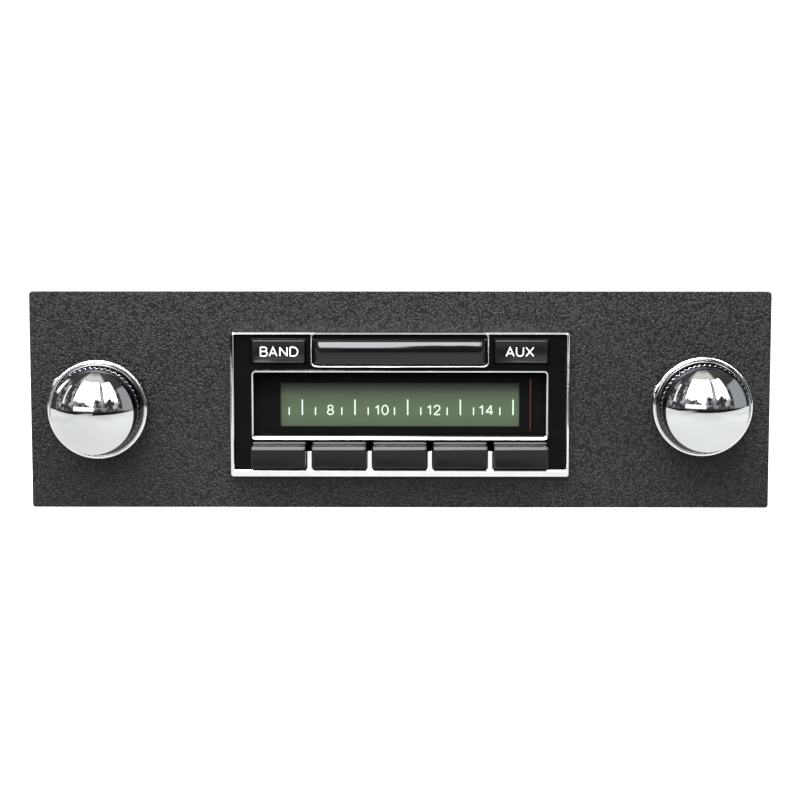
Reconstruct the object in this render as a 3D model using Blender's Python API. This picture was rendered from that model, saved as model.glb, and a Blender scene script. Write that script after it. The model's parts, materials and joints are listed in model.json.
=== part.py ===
"""Shaft-mounted car radio in its dash panel, built as an assembly of separate pieces.

Frame: X runs along the panel, the front faces -Y, Z is up, and the origin is the middle of
the panel's bottom edge. Every size below is in millimetres; meshes are made in metres.
"""
import math

import bmesh
import bpy
from mathutils import Vector
from mathutils.geometry import tessellate_polygon

MM = 0.001
GAP = 0.35          # running and assembly clearance between neighbouring pieces

# Dash panel
PANEL_W, PANEL_H, PANEL_T = 235.0, 69.0, 2.5
PANEL_FRONT, PANEL_BACK = -PANEL_T / 2, PANEL_T / 2
AXIS_Z = 33.5                           # centre line of the radio
SHAFT_X, LEFT_SHAFT_Z, RIGHT_SHAFT_Z = 95.5, 32.2, 33.2     # the brackets allow each its height

# Nose of the radio, which fills the cut-out of the panel
BEZEL_HALF_W, BEZEL_BOTTOM, BEZEL_TOP = 53.6, 10.45, 56.5
BEZEL_BACK, BEZEL_FRONT = PANEL_FRONT - 0.3, -5.2
RIM_SIDE, RIM_TOP, RIM_BOTTOM = 1.1, 0.8, 2.4
NOSE_HALF_W, NOSE_HALF_H, NOSE_WALL = 51.0, 20.4, 1.0
NOSE_FRONT, NOSE_BACK = -1.2, 16.7
FACE_FRONT, FACE_BACK = -4.3, -1.6
WINDOW_HALF_W, WINDOW_BOTTOM, WINDOW_TOP = 47.0, 22.15, 44.4
TRIM_LINE = 0.65                        # width of the bright lines around window and badge
TRIM_HALF_W, TRIM_BOTTOM = 28.3, 45.3
DIAL_HALF_W, DIAL_BOTTOM, DIAL_TOP = 38.0, 26.0, 40.0

# Push buttons
PRESET_COUNT, PRESET_PITCH, PRESET_W = 5, 19.1, 17.2
PRESET_BOTTOM, PRESET_TOP, PRESET_FRONT = 14.1, 21.3, -12.2
MODE_X, MODE_W, MODE_BOTTOM, MODE_TOP, MODE_FRONT = 38.4, 16.8, 46.7, 54.0, -4.9
PRESET_TRAVEL, MODE_TRAVEL = 2.0, 1.5
DIVIDER_W, DIVIDER_TOP = 1.2, 18.6

# Tuning drive: a cord loop over two idlers and a drum on the tuning shaft
CORD_Y, CORD_R = 12.0, 0.4
IDLER_Z, IDLER_R = 41.3, 3.9            # cord centre line on the idlers
LEFT_IDLER_X, RIGHT_IDLER_X, IDLER_PIN_R = -44.7, 58.0, 1.5
DRUM_R = 3.5                            # cord centre line on the drum
POINTER_X = 41.5                        # where the pointer rests, at the right of the dial
RAIL_Y, RAIL_Z, RAIL_R = 9.4, 48.6, 1.0

# Controls, with h measured forward from the front of the panel
SHAFT_R, SLEEVE_IN, SLEEVE_OUT = 3.0, 3.35, 4.2
STEP_R, STEP_FRONT, STEP_BACK = 1.95, 9.2, 14.8         # where the tuning shaft is stepped down
BUSH_IN, BUSH_OUT, PANEL_HOLE_R = 4.55, 5.6, 6.0
RING_R, KNURL_R, DOME_R = 15.8, 13.9, 12.9
KNURL_TEETH = 40
TAB_ANGLE = (147.0, 160.0)              # where each ring's finger tab rests, left and right

# Chassis
CHASSIS_HALF_W, CHASSIS_BOTTOM, CHASSIS_TOP = 86.0, 9.0, 58.5
CHASSIS_FRONT, CHASSIS_BACK, SHEET = 17.0, 140.7, 1.2
ANTENNA, AUX = (72.0, 40.0), (54.5, 24.0)               # socket centres, x and z
WIRING_HOLE = (17.5, 44.5, 18.0, 37.0)                  # x0, x1, z0, z1
SINK_X0, SINK_X1, SINK_LOW, SINK_HIGH = -82.0, -18.0, 15.0, 53.0
SINK_FINS, FIN_T, SINK_BASE_T, SINK_DEPTH = 9, 2.0, 4.0, 16.0
STRAP_HALF_W, STRAP_T, STRAP_FOOT, STRAP_TOP = 8.0, 2.0, 26.0, 43.0
BOLT_R, BOLT_HEAD_R, BOLT_HEAD_H, BOLT_HOLE_R = 3.0, 5.6, 4.5, 3.4
BRACKET_LOW, BRACKET_HIGH, BRACKET_T = 21.0, 46.0, 1.5
BRACKET_FRONT, BRACKET_BACK, BRACKET_SIDE = 3.0, 45.0, 108.0


def front(height):
    """Y of a point that stands this far in front of the panel."""
    return PANEL_FRONT - height


def shaft_z(x):
    return LEFT_SHAFT_Z if x < 0 else RIGHT_SHAFT_Z


def clear_scene():
    for old in list(bpy.data.objects):
        bpy.data.objects.remove(old, do_unlink=True)


def principled(name, colour, roughness, metallic=0.0):
    material = bpy.data.materials.new(name)
    material.use_nodes = True
    shader = material.node_tree.nodes["Principled BSDF"]
    shader.inputs["Base Color"].default_value = (*colour, 1.0)
    shader.inputs["Roughness"].default_value = roughness
    shader.inputs["Metallic"].default_value = metallic
    return material


def solid(name, verts, faces, material, origin=(0, 0, 0), sharp=None):
    """One closed body from millimetre points; `sharp` smooth-shades it below that angle."""
    ox, oy, oz = origin
    mesh = bpy.data.meshes.new(name)
    mesh.from_pydata([((x - ox) * MM, (y - oy) * MM, (z - oz) * MM) for x, y, z in verts], [], faces)
    shell = bmesh.new()
    shell.from_mesh(mesh)
    bmesh.ops.recalc_face_normals(shell, faces=shell.faces)
    shell.to_mesh(mesh)
    shell.free()
    mesh.materials.append(material)
    body = bpy.data.objects.new(name, mesh)
    body.location = (ox * MM, oy * MM, oz * MM)
    bpy.context.collection.objects.link(body)
    if sharp is not None:
        mesh.shade_smooth()
        mesh.set_sharp_from_angle(angle=math.radians(sharp))
    return body


def circle(cu, cv, radius, count=32, start=0.0):
    return [(cu + radius * math.cos(start + 2 * math.pi * i / count),
             cv + radius * math.sin(start + 2 * math.pi * i / count)) for i in range(count)]


def rounded_rect(u0, u1, v0, v1, radius, steps=3):
    """Outline of a rectangle with round corners, anticlockwise from its lower right corner."""
    corners = [(u1 - radius, v0 + radius, -90), (u1 - radius, v1 - radius, 0),
               (u0 + radius, v1 - radius, 90), (u0 + radius, v0 + radius, 180)]
    return [(cu + radius * math.cos(math.radians(first + 90 * i / steps)),
             cv + radius * math.sin(math.radians(first + 90 * i / steps)))
            for cu, cv, first in corners for i in range(steps + 1)]


def rect(u0, u1, v0, v1):
    return [(u0, v0), (u1, v0), (u1, v1), (u0, v1)]


def prism(name, outer, holes, low, high, material, axis="Y", origin=(0, 0, 0), sharp=None):
    """An outline with holes, extruded along an axis.

    The outline's two coordinates are (x, z) for Y, (y, z) for X and (x, y) for Z.
    """
    loops = [outer] + list(holes)
    points = [point for loop in loops for point in loop]
    count = len(points)
    caps = tessellate_polygon([[Vector((u, v, 0)) for u, v in loop] for loop in loops])
    place = {"Y": lambda u, v, w: (u, w, v),
             "X": lambda u, v, w: (w, u, v),
             "Z": lambda u, v, w: (u, v, w)}[axis]
    verts = [place(u, v, w) for w in (low, high) for u, v in points]
    faces = [tuple(cap) for cap in caps] + [tuple(i + count for i in cap) for cap in caps]
    first = 0
    for loop in loops:
        size = len(loop)
        for i in range(size):
            a, b = first + i, first + (i + 1) % size
            faces.append((a, b, b + count, a + count))
        first += size
    return solid(name, verts, faces, material, origin, sharp)


def box(name, x0, x1, y0, y1, z0, z1, material, origin=(0, 0, 0)):
    return prism(name, rect(x0, x1, z0, z1), [], y0, y1, material, "Y", origin)


def loft(name, sections, material, axis="Y", origin=(0, 0, 0), sharp=30):
    """A body through outlines of equal length, given as (place along the axis, outline)."""
    place = {"Y": lambda u, v, w: (u, w, v),
             "X": lambda u, v, w: (w, u, v),
             "Z": lambda u, v, w: (u, v, w)}[axis]
    size = len(sections[0][1])
    verts = [place(u, v, w) for w, outline in sections for u, v in outline]
    faces = [tuple(range(size)), tuple(range(len(verts) - size, len(verts)))]
    for k in range(len(sections) - 1):
        for i in range(size):
            a, b = k * size + i, k * size + (i + 1) % size
            faces.append((a, b, b + size, a + size))
    return solid(name, verts, faces, material, origin, sharp)


def turned(name, cx, cz, profile, material, count=32, closed=False, shape=None, sharp=35):
    """A body turned about an axis along Y from (radius, y) points.

    An open profile runs between two points on the axis; a closed one makes a ring. `shape`
    may change the radius of a point by its angle.
    """
    verts, rings = [], []
    for step, (radius, y) in enumerate(profile):
        if radius < 1e-6:
            rings.append([len(verts)])
            verts.append((cx, y, cz))
            continue
        rings.append(list(range(len(verts), len(verts) + count)))
        for i in range(count):
            angle = 2 * math.pi * i / count
            r = shape(step, radius, angle) if shape else radius
            verts.append((cx + r * math.cos(angle), y, cz + r * math.sin(angle)))
    pairs = list(zip(rings, rings[1:])) + ([(rings[-1], rings[0])] if closed else [])
    faces = []
    for near, far in pairs:
        for i in range(count):
            j = (i + 1) % count
            if len(near) == 1:
                faces.append((near[0], far[i], far[j]))
            elif len(far) == 1:
                faces.append((near[i], near[j], far[0]))
            else:
                faces.append((near[i], near[j], far[j], far[i]))
    return solid(name, verts, faces, material, (cx, (profile[0][1] + profile[-1][1]) / 2, cz), sharp)


def tube(name, cx, cz, inner, outer, y0, y1, material, count=32):
    profile = [(inner, y0), (inner, y1), (outer, y1), (outer, y0)]
    return turned(name, cx, cz, profile, material, count, closed=True)


def cut(body, cutters):
    """Take each cutter out of a body, and keep the cutters hidden beside it."""
    for number, cutter in enumerate(cutters):
        cutter.hide_render = True
        cutter.display_type = "WIRE"
        modifier = body.modifiers.new(f"cut_{number}", "BOOLEAN")
        modifier.operation = "DIFFERENCE"
        modifier.solver = "EXACT"
        modifier.object = cutter
    return body


def cutter_box(name, x0, x1, y0, y1, z0, z1):
    return box(name, x0, x1, y0, y1, z0, z1, MATERIALS["steel"])


def cutter_rod(name, axis, place, radius, low, high, count=24):
    """A round cutter along X, Y or Z through (u, v), the two other coordinates in order."""
    return prism(name, circle(*place, radius, count), [], low, high, MATERIALS["steel"], axis)


clear_scene()
MATERIALS = {
    "panel_paint": principled("wrinkle_paint", (0.040, 0.043, 0.046), 0.62),
    "chrome": principled("chrome_plate", (0.80, 0.81, 0.82), 0.08, 1.0),
    "gloss_black": principled("gloss_black_plastic", (0.008, 0.008, 0.009), 0.12),
    "key_grey": principled("matte_key_plastic", (0.032, 0.033, 0.035), 0.45),
    "lens": principled("clear_lens", (0.85, 0.88, 0.86), 0.05),
    "mask": principled("matte_mask_card", (0.010, 0.011, 0.010), 0.70),
    "dial": principled("dial_green", (0.09, 0.13, 0.075), 0.35),
    "diffuser": principled("white_diffuser", (0.80, 0.80, 0.76), 0.50),
    "needle": principled("needle_red", (0.45, 0.015, 0.012), 0.40),
    "circuit": principled("circuit_board_green", (0.015, 0.110, 0.045), 0.40),
    "steel": principled("zinc_plated_steel", (0.58, 0.58, 0.55), 0.35, 1.0),
    "rod": principled("polished_steel", (0.62, 0.62, 0.62), 0.20, 1.0),
    "brass": principled("nickel_plated_brass", (0.66, 0.62, 0.50), 0.28, 1.0),
    "aluminium": principled("aluminium", (0.72, 0.73, 0.74), 0.35, 1.0),
    "black_plastic": principled("black_plastic", (0.018, 0.018, 0.019), 0.50),
    "white_plastic": principled("white_acetal", (0.72, 0.71, 0.66), 0.45),
    "cord": principled("braided_nylon", (0.55, 0.50, 0.40), 0.80),
    "chip": principled("epoxy_package", (0.020, 0.020, 0.022), 0.60),
}


# ---------------------------------------------------------------- dash panel
def make_dash_panel():
    half_w = PANEL_W / 2
    cut_half_w, cut_half_h = NOSE_HALF_W + 0.5, NOSE_HALF_H + 0.5
    holes = [rect(-cut_half_w, cut_half_w, AXIS_Z - cut_half_h, AXIS_Z + cut_half_h)]
    holes += [circle(x, shaft_z(x), PANEL_HOLE_R) for x in (-SHAFT_X, SHAFT_X)]
    prism("dash_panel", rounded_rect(-half_w, half_w, 0, PANEL_H, 0.8, 2), holes,
          PANEL_FRONT, PANEL_BACK, MATERIALS["panel_paint"])


# ---------------------------------------------------------------- nose of the radio
def make_bezel():
    """A bright frame with blades that stand between the preset buttons."""
    x1, z0, z1 = BEZEL_HALF_W - RIM_SIDE, BEZEL_BOTTOM + RIM_BOTTOM, BEZEL_TOP - RIM_TOP
    comb = []
    for i in range(1, PRESET_COUNT):
        x = (i - PRESET_COUNT / 2) * PRESET_PITCH
        comb += [(x - DIVIDER_W / 2, z0), (x - DIVIDER_W / 2, DIVIDER_TOP),
                 (x + DIVIDER_W / 2, DIVIDER_TOP), (x + DIVIDER_W / 2, z0)]
    opening = [(-x1, z0)] + comb + [(x1, z0), (x1, z1), (-x1, z1)]
    outer = rounded_rect(-BEZEL_HALF_W, BEZEL_HALF_W, BEZEL_BOTTOM, BEZEL_TOP, 0.9)
    prism("chrome_bezel", outer, [opening], BEZEL_FRONT, BEZEL_BACK, MATERIALS["chrome"])


def make_face_moulding():
    """The black face inside the bezel: window, two button holes, and a gap for the presets."""
    x1, z1 = BEZEL_HALF_W - RIM_SIDE - GAP, BEZEL_TOP - RIM_TOP - GAP
    leg_x = (PRESET_COUNT - 1) / 2 * PRESET_PITCH + PRESET_W / 2 + GAP
    sill, foot = PRESET_TOP + GAP, BEZEL_BOTTOM + RIM_BOTTOM + GAP
    outline = [(-x1, foot), (-leg_x, foot), (-leg_x, sill), (leg_x, sill), (leg_x, foot),
               (x1, foot), (x1, z1), (-x1, z1)]
    inset = TRIM_LINE * 0.6
    window = rounded_rect(-WINDOW_HALF_W + inset, WINDOW_HALF_W - inset,
                          WINDOW_BOTTOM + inset, WINDOW_TOP - inset, 0.8)
    modes = [rect(side * MODE_X - MODE_W / 2 - GAP, side * MODE_X + MODE_W / 2 + GAP,
                  MODE_BOTTOM - GAP, MODE_TOP + GAP) for side in (-1, 1)]
    prism("face_moulding", outline, [window] + modes, FACE_FRONT, FACE_BACK,
          MATERIALS["gloss_black"])


def make_bright_lines():
    outer = rounded_rect(-WINDOW_HALF_W, WINDOW_HALF_W, WINDOW_BOTTOM, WINDOW_TOP, 1.4, 4)
    inner = rounded_rect(-WINDOW_HALF_W + TRIM_LINE, WINDOW_HALF_W - TRIM_LINE,
                         WINDOW_BOTTOM + TRIM_LINE, WINDOW_TOP - TRIM_LINE, 0.8, 4)
    prism("window_frame", outer, [inner], FACE_FRONT - 0.9, FACE_FRONT - 0.3, MATERIALS["chrome"])
    top = BEZEL_TOP - RIM_TOP - GAP
    outer = rounded_rect(-TRIM_HALF_W, TRIM_HALF_W, TRIM_BOTTOM, top, 1.6, 4)
    inner = rounded_rect(-TRIM_HALF_W + TRIM_LINE, TRIM_HALF_W - TRIM_LINE,
                         TRIM_BOTTOM + TRIM_LINE, top - TRIM_LINE, 1.0, 4)
    prism("badge_frame", outer, [inner], FACE_FRONT - 0.9, FACE_FRONT - 0.3, MATERIALS["chrome"])


def make_trim_bar():
    """A convex bar inside the badge frame, with sloping ends."""
    half_w = TRIM_HALF_W - TRIM_LINE - GAP
    low, high = TRIM_BOTTOM + TRIM_LINE + GAP, BEZEL_TOP - RIM_TOP - GAP - TRIM_LINE - GAP
    back, centre, half_h = FACE_FRONT - 0.3, (low + high) / 2, (high - low) / 2

    def section(bulge):
        arc = [(back - 0.3 - bulge * math.cos(math.pi / 2 * k / 6) if abs(k) < 6 else back - 0.3,
                centre + half_h * math.sin(math.pi / 2 * k / 6)) for k in range(-6, 7)]
        return [(back, low)] + arc + [(back, high)]

    loft("trim_bar", [(-half_w, section(0.25)), (-half_w + 2.2, section(1.9)),
                      (half_w - 2.2, section(1.9)), (half_w, section(0.25))],
         MATERIALS["gloss_black"], axis="X")


def make_dial_stack():
    """Lens, mask, dial plate and diffuser, one behind the other."""
    lens_x, low, high = WINDOW_HALF_W - 0.9, WINDOW_BOTTOM + 0.9, WINDOW_TOP - 0.9
    box("display_lens", -lens_x, lens_x, FACE_FRONT + 0.5, -2.4, low, high, MATERIALS["lens"])
    prism("dial_mask", rect(-48.5, 48.5, 21.9, 43.6),
          [rect(-DIAL_HALF_W, DIAL_HALF_W, DIAL_BOTTOM, DIAL_TOP)], -0.5, 0.0, MATERIALS["mask"])
    box("dial_plate", -40.5, 40.5, 0.35, 1.2, 24.0, 42.0, MATERIALS["dial"])
    box("backlight_diffuser", -42.0, 42.0, 1.55, 4.3, 23.0, 43.0, MATERIALS["diffuser"])


def make_front_board():
    outline = rect(-49.4, 49.4, 14.7, 52.3)
    slot = rounded_rect(POINTER_X - 77 - 2.2, POINTER_X + 2.2, 43.7, 46.1, 1.0, 2)
    prism("front_circuit_board", outline, [slot], 5.0, 6.4, MATERIALS["circuit"])


def make_nose_housing():
    """A short tunnel behind the panel that carries the face, the dial and the pointer rail."""
    inner_w, inner_h = NOSE_HALF_W - NOSE_WALL, NOSE_HALF_H - NOSE_WALL
    housing = prism("nose_housing",
                    rect(-NOSE_HALF_W, NOSE_HALF_W, AXIS_Z - NOSE_HALF_H, AXIS_Z + NOSE_HALF_H),
                    [rect(-inner_w, inner_w, AXIS_Z - inner_h, AXIS_Z + inner_h)],
                    NOSE_FRONT, NOSE_BACK, MATERIALS["black_plastic"])
    rail = cutter_rod("rail_hole_cutter", "X", (RAIL_Y, RAIL_Z), RAIL_R + GAP,
                      -NOSE_HALF_W - 2, NOSE_HALF_W + 2)
    slot = cutter_box("cord_slot_cutter", NOSE_HALF_W - 3, NOSE_HALF_W + 3, 10.6, 20, 29.5, 46.8)
    cut(housing, [rail, slot])


# ---------------------------------------------------------------- push buttons
def button(name, x, width, low, high, head_front, head_back, stem, soft, travel):
    """A key with softened front edges and a narrower stem that reaches back to its switch."""
    x0, x1 = x - width / 2, x + width / 2

    def ring(inset, top=0.0, radius=0.55):
        return rounded_rect(x0 + inset, x1 - inset, low + inset, high - inset - top, radius, 2)

    stem_low, stem_high, stem_half = stem
    stem_ring = rounded_rect(x - stem_half, x + stem_half, stem_low, stem_high, 0.4, 2)
    sections = [(head_front, ring(0.6 * soft, 0.9 * soft, 0.8)),
                (head_front + 0.3 * soft, ring(0.15 * soft, 0.35 * soft, 0.8)),
                (head_front + 1.2 * soft, ring(0.0, 0.0)),
                (head_back, ring(0.0)), (head_back, stem_ring),
                (5.0 - GAP - travel, stem_ring)]
    loft(name, sections, MATERIALS["key_grey"], origin=(x, head_front, (low + high) / 2))


def make_buttons():
    for i in range(PRESET_COUNT):
        x = (i - (PRESET_COUNT - 1) / 2) * PRESET_PITCH
        button(f"preset_button_{i + 1}", x, PRESET_W, PRESET_BOTTOM, PRESET_TOP, PRESET_FRONT,
               -3.6, (15.2, 20.2, 6.5), 1.0, PRESET_TRAVEL)
    for name, side in (("band_button", -1), ("aux_button", 1)):
        button(name, side * MODE_X, MODE_W, MODE_BOTTOM, MODE_TOP, MODE_FRONT,
               -3.1, (48.0, 52.4, 5.0), 0.35, MODE_TRAVEL)


# ---------------------------------------------------------------- pointer and cord drive
def make_pointer():
    """A needle in front of the mask, on an arm that runs back above the dial to a carriage."""
    x, tip, shoulder = POINTER_X, 24.4, 45.5
    # side view of needle and arm, in (y, z)
    near, far = FACE_BACK + GAP, FACE_BACK + GAP + 0.4
    outline = [(near, tip), (far, tip), (far, 44.25), (7.2, 44.25), (7.2, shoulder),
               (near, shoulder)]
    prism("pointer_needle", outline, [], x - 0.25, x + 0.25, MATERIALS["needle"], "X",
          origin=(x, near, 33))
    # the carriage wraps the rail above and is open to the cord below
    top, bottom, front_y, back_y = 51.0, 43.2, 7.55, 13.4
    cord_z = IDLER_Z + IDLER_R
    notch = CORD_R + 0.45
    side = [(front_y, bottom), (CORD_Y - notch, bottom), (CORD_Y - notch, cord_z + notch),
            (CORD_Y + notch, cord_z + notch), (CORD_Y + notch, bottom), (back_y, bottom),
            (back_y, top), (front_y, top)]
    hole = circle(RAIL_Y, RAIL_Z, RAIL_R + GAP, 20)
    prism("pointer_carriage", side, [hole], x - 4, x + 4, MATERIALS["white_plastic"], "X",
          origin=(x, RAIL_Y, RAIL_Z))
    prism("pointer_rail", circle(RAIL_Y, RAIL_Z, RAIL_R, 20), [], -NOSE_HALF_W + 0.1,
          NOSE_HALF_W - 0.1, MATERIALS["rod"], "X", origin=(0, RAIL_Y, RAIL_Z), sharp=35)


def make_idler(name, x):
    """A grooved wheel whose own pin turns in a hole of the chassis front."""
    groove, flange, pin = IDLER_R - CORD_R - GAP, IDLER_R + 1.0, IDLER_PIN_R
    y0, y1 = CORD_Y - 1.6, CORD_Y + 1.6
    profile = [(0, y0), (flange, y0), (flange, y0 + 0.7), (groove, y0 + 0.75),
               (groove, y1 - 0.75), (flange, y1 - 0.7), (flange, y1), (pin, y1),
               (pin, CHASSIS_FRONT + SHEET + 1.0), (0, CHASSIS_FRONT + SHEET + 1.0)]
    turned(name, x, IDLER_Z, profile, MATERIALS["white_plastic"], 28)


def make_drum():
    """The drum sits on the stepped part of the tuning shaft, as a ring around it."""
    groove, flange, bore = DRUM_R - CORD_R - GAP, 5.6, STEP_R + GAP
    y0, y1 = CORD_Y - 2.2, CORD_Y + 2.2
    profile = [(bore, y0), (bore, y1), (flange, y1), (flange, y1 - 0.7), (groove, y1 - 0.75),
               (groove, y0 + 0.75), (flange, y0 + 0.7), (flange, y0)]
    turned("cord_drum", SHAFT_X, RIGHT_SHAFT_Z, profile, MATERIALS["white_plastic"], 28, closed=True)


def belt_points(circles, spacing):
    """The closed loop around circles (x, z, radius), given in clockwise order."""
    path = []
    count = len(circles)
    tangents = []
    for i in range(count):
        (x0, z0, r0), (x1, z1, r1) = circles[i], circles[(i + 1) % count]
        run = math.hypot(x1 - x0, z1 - z0)
        base = math.atan2(z1 - z0, x1 - x0)
        # outer tangent on the left of the direction of travel, for a clockwise loop
        angle = base + math.acos((r0 - r1) / run)
        tangents.append(((x0 + r0 * math.cos(angle), z0 + r0 * math.sin(angle)),
                         (x1 + r1 * math.cos(angle), z1 + r1 * math.sin(angle)), angle))
    for i in range(count):
        start, end, angle = tangents[i]
        steps = max(2, round(math.dist(start, end) / spacing))
        path += [(start[0] + (end[0] - start[0]) * k / steps,
                  start[1] + (end[1] - start[1]) * k / steps) for k in range(steps)]
        cx, cz, radius = circles[(i + 1) % count]
        turn = (angle - tangents[(i + 1) % count][2]) % (2 * math.pi)
        bends = max(2, round(turn * radius / 2.0))
        path += [(cx + radius * math.cos(angle - turn * k / bends),
                  cz + radius * math.sin(angle - turn * k / bends)) for k in range(bends)]
    return path


def make_cord():
    """The drive cord, as a ring of round sections along the belt line."""
    path = belt_points([(LEFT_IDLER_X, IDLER_Z, IDLER_R), (RIGHT_IDLER_X, IDLER_Z, IDLER_R),
                        (SHAFT_X, RIGHT_SHAFT_Z, DRUM_R)], 12.0)
    sides, count = 6, len(path)
    verts, faces = [], []
    for i in range(count):
        (x0, z0), (x1, z1) = path[i - 1], path[(i + 1) % count]
        length = math.hypot(x1 - x0, z1 - z0)
        nx, nz = -(z1 - z0) / length, (x1 - x0) / length
        for k in range(sides):
            angle = 2 * math.pi * k / sides
            across = CORD_R * math.cos(angle)
            verts.append((path[i][0] + nx * across, CORD_Y + CORD_R * math.sin(angle),
                          path[i][1] + nz * across))
    for i in range(count):
        j = (i + 1) % count
        for k in range(sides):
            m = (k + 1) % sides
            faces.append((i * sides + k, i * sides + m, j * sides + m, j * sides + k))
    solid("dial_cord", verts, faces, MATERIALS["cord"], (0, CORD_Y, AXIS_Z), 50)


# ---------------------------------------------------------------- controls
def make_knob(name, x):
    """A domed knob with a knurled band, bored for its shaft."""
    skirt, knurl_back, knurl_front = 13.2, 10.6, 13.2
    bore, depth = SHAFT_R + GAP, 20.0
    profile = [(0, front(depth)), (bore, front(depth)), (bore, front(8.6)), (skirt, front(8.6)),
               (skirt, front(knurl_back)), (KNURL_R, front(knurl_back + 0.1)),
               (KNURL_R, front(knurl_front - 0.1)), (DOME_R, front(knurl_front)),
               (DOME_R, front(18.0)), (11.6, front(19.6)), (9.2, front(21.2)),
               (6.0, front(22.6)), (3.0, front(23.3)), (0, front(23.5))]
    teeth = {5, 6}

    def shape(step, radius, angle):
        tooth = round(angle / (2 * math.pi) * KNURL_TEETH * 2) % 2
        return radius - 0.5 * tooth if step in teeth else radius

    turned(name, x, shaft_z(x), profile, MATERIALS["aluminium"], KNURL_TEETH * 2, shape=shape)


def make_ring(name, x):
    """The rear ring around a knob, with a bead rim and one finger tab."""
    profile = [(SLEEVE_OUT + GAP, front(6.6)), (SLEEVE_OUT + GAP, front(8.2)), (13.0, front(8.2)),
               (14.4, front(7.6)), (15.0, front(6.9)), (15.6, front(6.6)), (RING_R, front(6.0)),
               (15.6, front(5.4)), (15.0, front(5.0)), (14.0, front(5.0)), (13.6, front(6.6))]
    tab_angle, tab_reach, rim = math.radians(TAB_ANGLE[x > 0]), 0.8, {4, 5, 6, 7, 8}

    def shape(step, radius, angle):
        near = abs(angle - tab_angle) < math.radians(7.6)
        return radius + tab_reach if near and step in rim else radius

    turned(name, x, shaft_z(x), profile, MATERIALS["chrome"], 48, closed=True, shape=shape)


def make_shaft(name, x, back):
    """A knob shaft; the tuning shaft is stepped down where it carries the cord drum."""
    profile = [(0, front(19.6)), (SHAFT_R, front(19.6)), (SHAFT_R, STEP_FRONT)]
    if x > 0:
        profile += [(STEP_R, STEP_FRONT), (STEP_R, STEP_BACK), (SHAFT_R, STEP_BACK)]
    profile += [(SHAFT_R, back), (0, back)]
    turned(name, x, shaft_z(x), profile, MATERIALS["rod"], 24)


def make_nut(name, x):
    hexagon = circle(x, shaft_z(x), 8.1, 6, math.pi / 6)
    prism(name, hexagon, [circle(x, shaft_z(x), PANEL_HOLE_R, 24)], front(3.2), front(0.3),
          MATERIALS["brass"], origin=(x, front(1.75), shaft_z(x)))


def make_bracket(name, side):
    """An angle that clamps behind the panel and runs back along the chassis side."""
    inner, near, sheet = CHASSIS_HALF_W + 0.3, BRACKET_FRONT, BRACKET_T
    outline = [(side * inner, near), (side * BRACKET_SIDE, near),
               (side * BRACKET_SIDE, near + sheet), (side * (inner + sheet), near + sheet),
               (side * (inner + sheet), BRACKET_BACK), (side * inner, BRACKET_BACK)]
    angle = prism(name, outline, [], BRACKET_LOW, BRACKET_HIGH, MATERIALS["steel"], "Z",
                  origin=(side * 97, 3.75, shaft_z(side)))
    cutters = [cutter_rod(name + "_cutter", "Y", (side * SHAFT_X, shaft_z(side)), PANEL_HOLE_R, 0, 7)]
    if side > 0:    # the drive cord passes through a slot in this one
        cutters.append(cutter_box("bracket_slot_cutter", inner - 2, inner + sheet + 2,
                                  CORD_Y - 1.2, CORD_Y + 1.2, 27.5, 41.5))
    cut(angle, cutters)


def make_pot(name, x, y0, y1, half, bore_r, bore_to=None):
    """A control body, square with clipped corners; through-bored, or blind-bored to a depth."""
    z, clip = shaft_z(x), half * 0.55
    outline = [(x + u, z + v) for u, v in (
        (-half, -clip), (-clip, -half), (clip, -half), (half, -clip),
        (half, clip), (clip, half), (-clip, half), (-half, clip))]
    if bore_to is None:
        prism(name, outline, [circle(x, shaft_z(x), bore_r, 24)], y0, y1, MATERIALS["steel"],
              origin=(x, (y0 + y1) / 2, shaft_z(x)))
        return
    body = prism(name, outline, [], y0, y1, MATERIALS["steel"],
                 origin=(x, (y0 + y1) / 2, shaft_z(x)))
    cut(body, [cutter_rod(name + "_cutter", "Y", (x, shaft_z(x)), bore_r, y0 - 2, bore_to)])


def make_controls():
    for side, left in ((-1, True), (1, False)):
        x = side * SHAFT_X
        make_knob("volume_knob" if left else "tuning_knob", x)
        make_ring("tone_ring" if left else "fader_ring", x)
        make_shaft("volume_shaft" if left else "tuning_shaft", x, 20.0)
        tube("tone_sleeve" if left else "fader_sleeve", x, shaft_z(x), SLEEVE_IN, SLEEVE_OUT,
             front(8.3), 8.4, MATERIALS["brass"], 24)
        tube("left_bushing" if left else "right_bushing", x, shaft_z(x), BUSH_IN, BUSH_OUT,
             front(5.6), 4.45, MATERIALS["brass"], 24)
        make_nut("left_shaft_nut" if left else "right_shaft_nut", x)
        make_bracket("left_shaft_bracket" if left else "right_shaft_bracket", side)
        make_pot("tone_pot" if left else "fader_pot", x, 4.85, 9.0, 7.2, BUSH_IN)
        if left:
            make_pot("volume_pot", x, 9.35, 23.0, 7.2, SHAFT_R + GAP, 20.5)
        else:
            make_pot("tuning_encoder", x, 15.2, 25.0, 7.2, SHAFT_R + GAP, 20.5)


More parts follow.
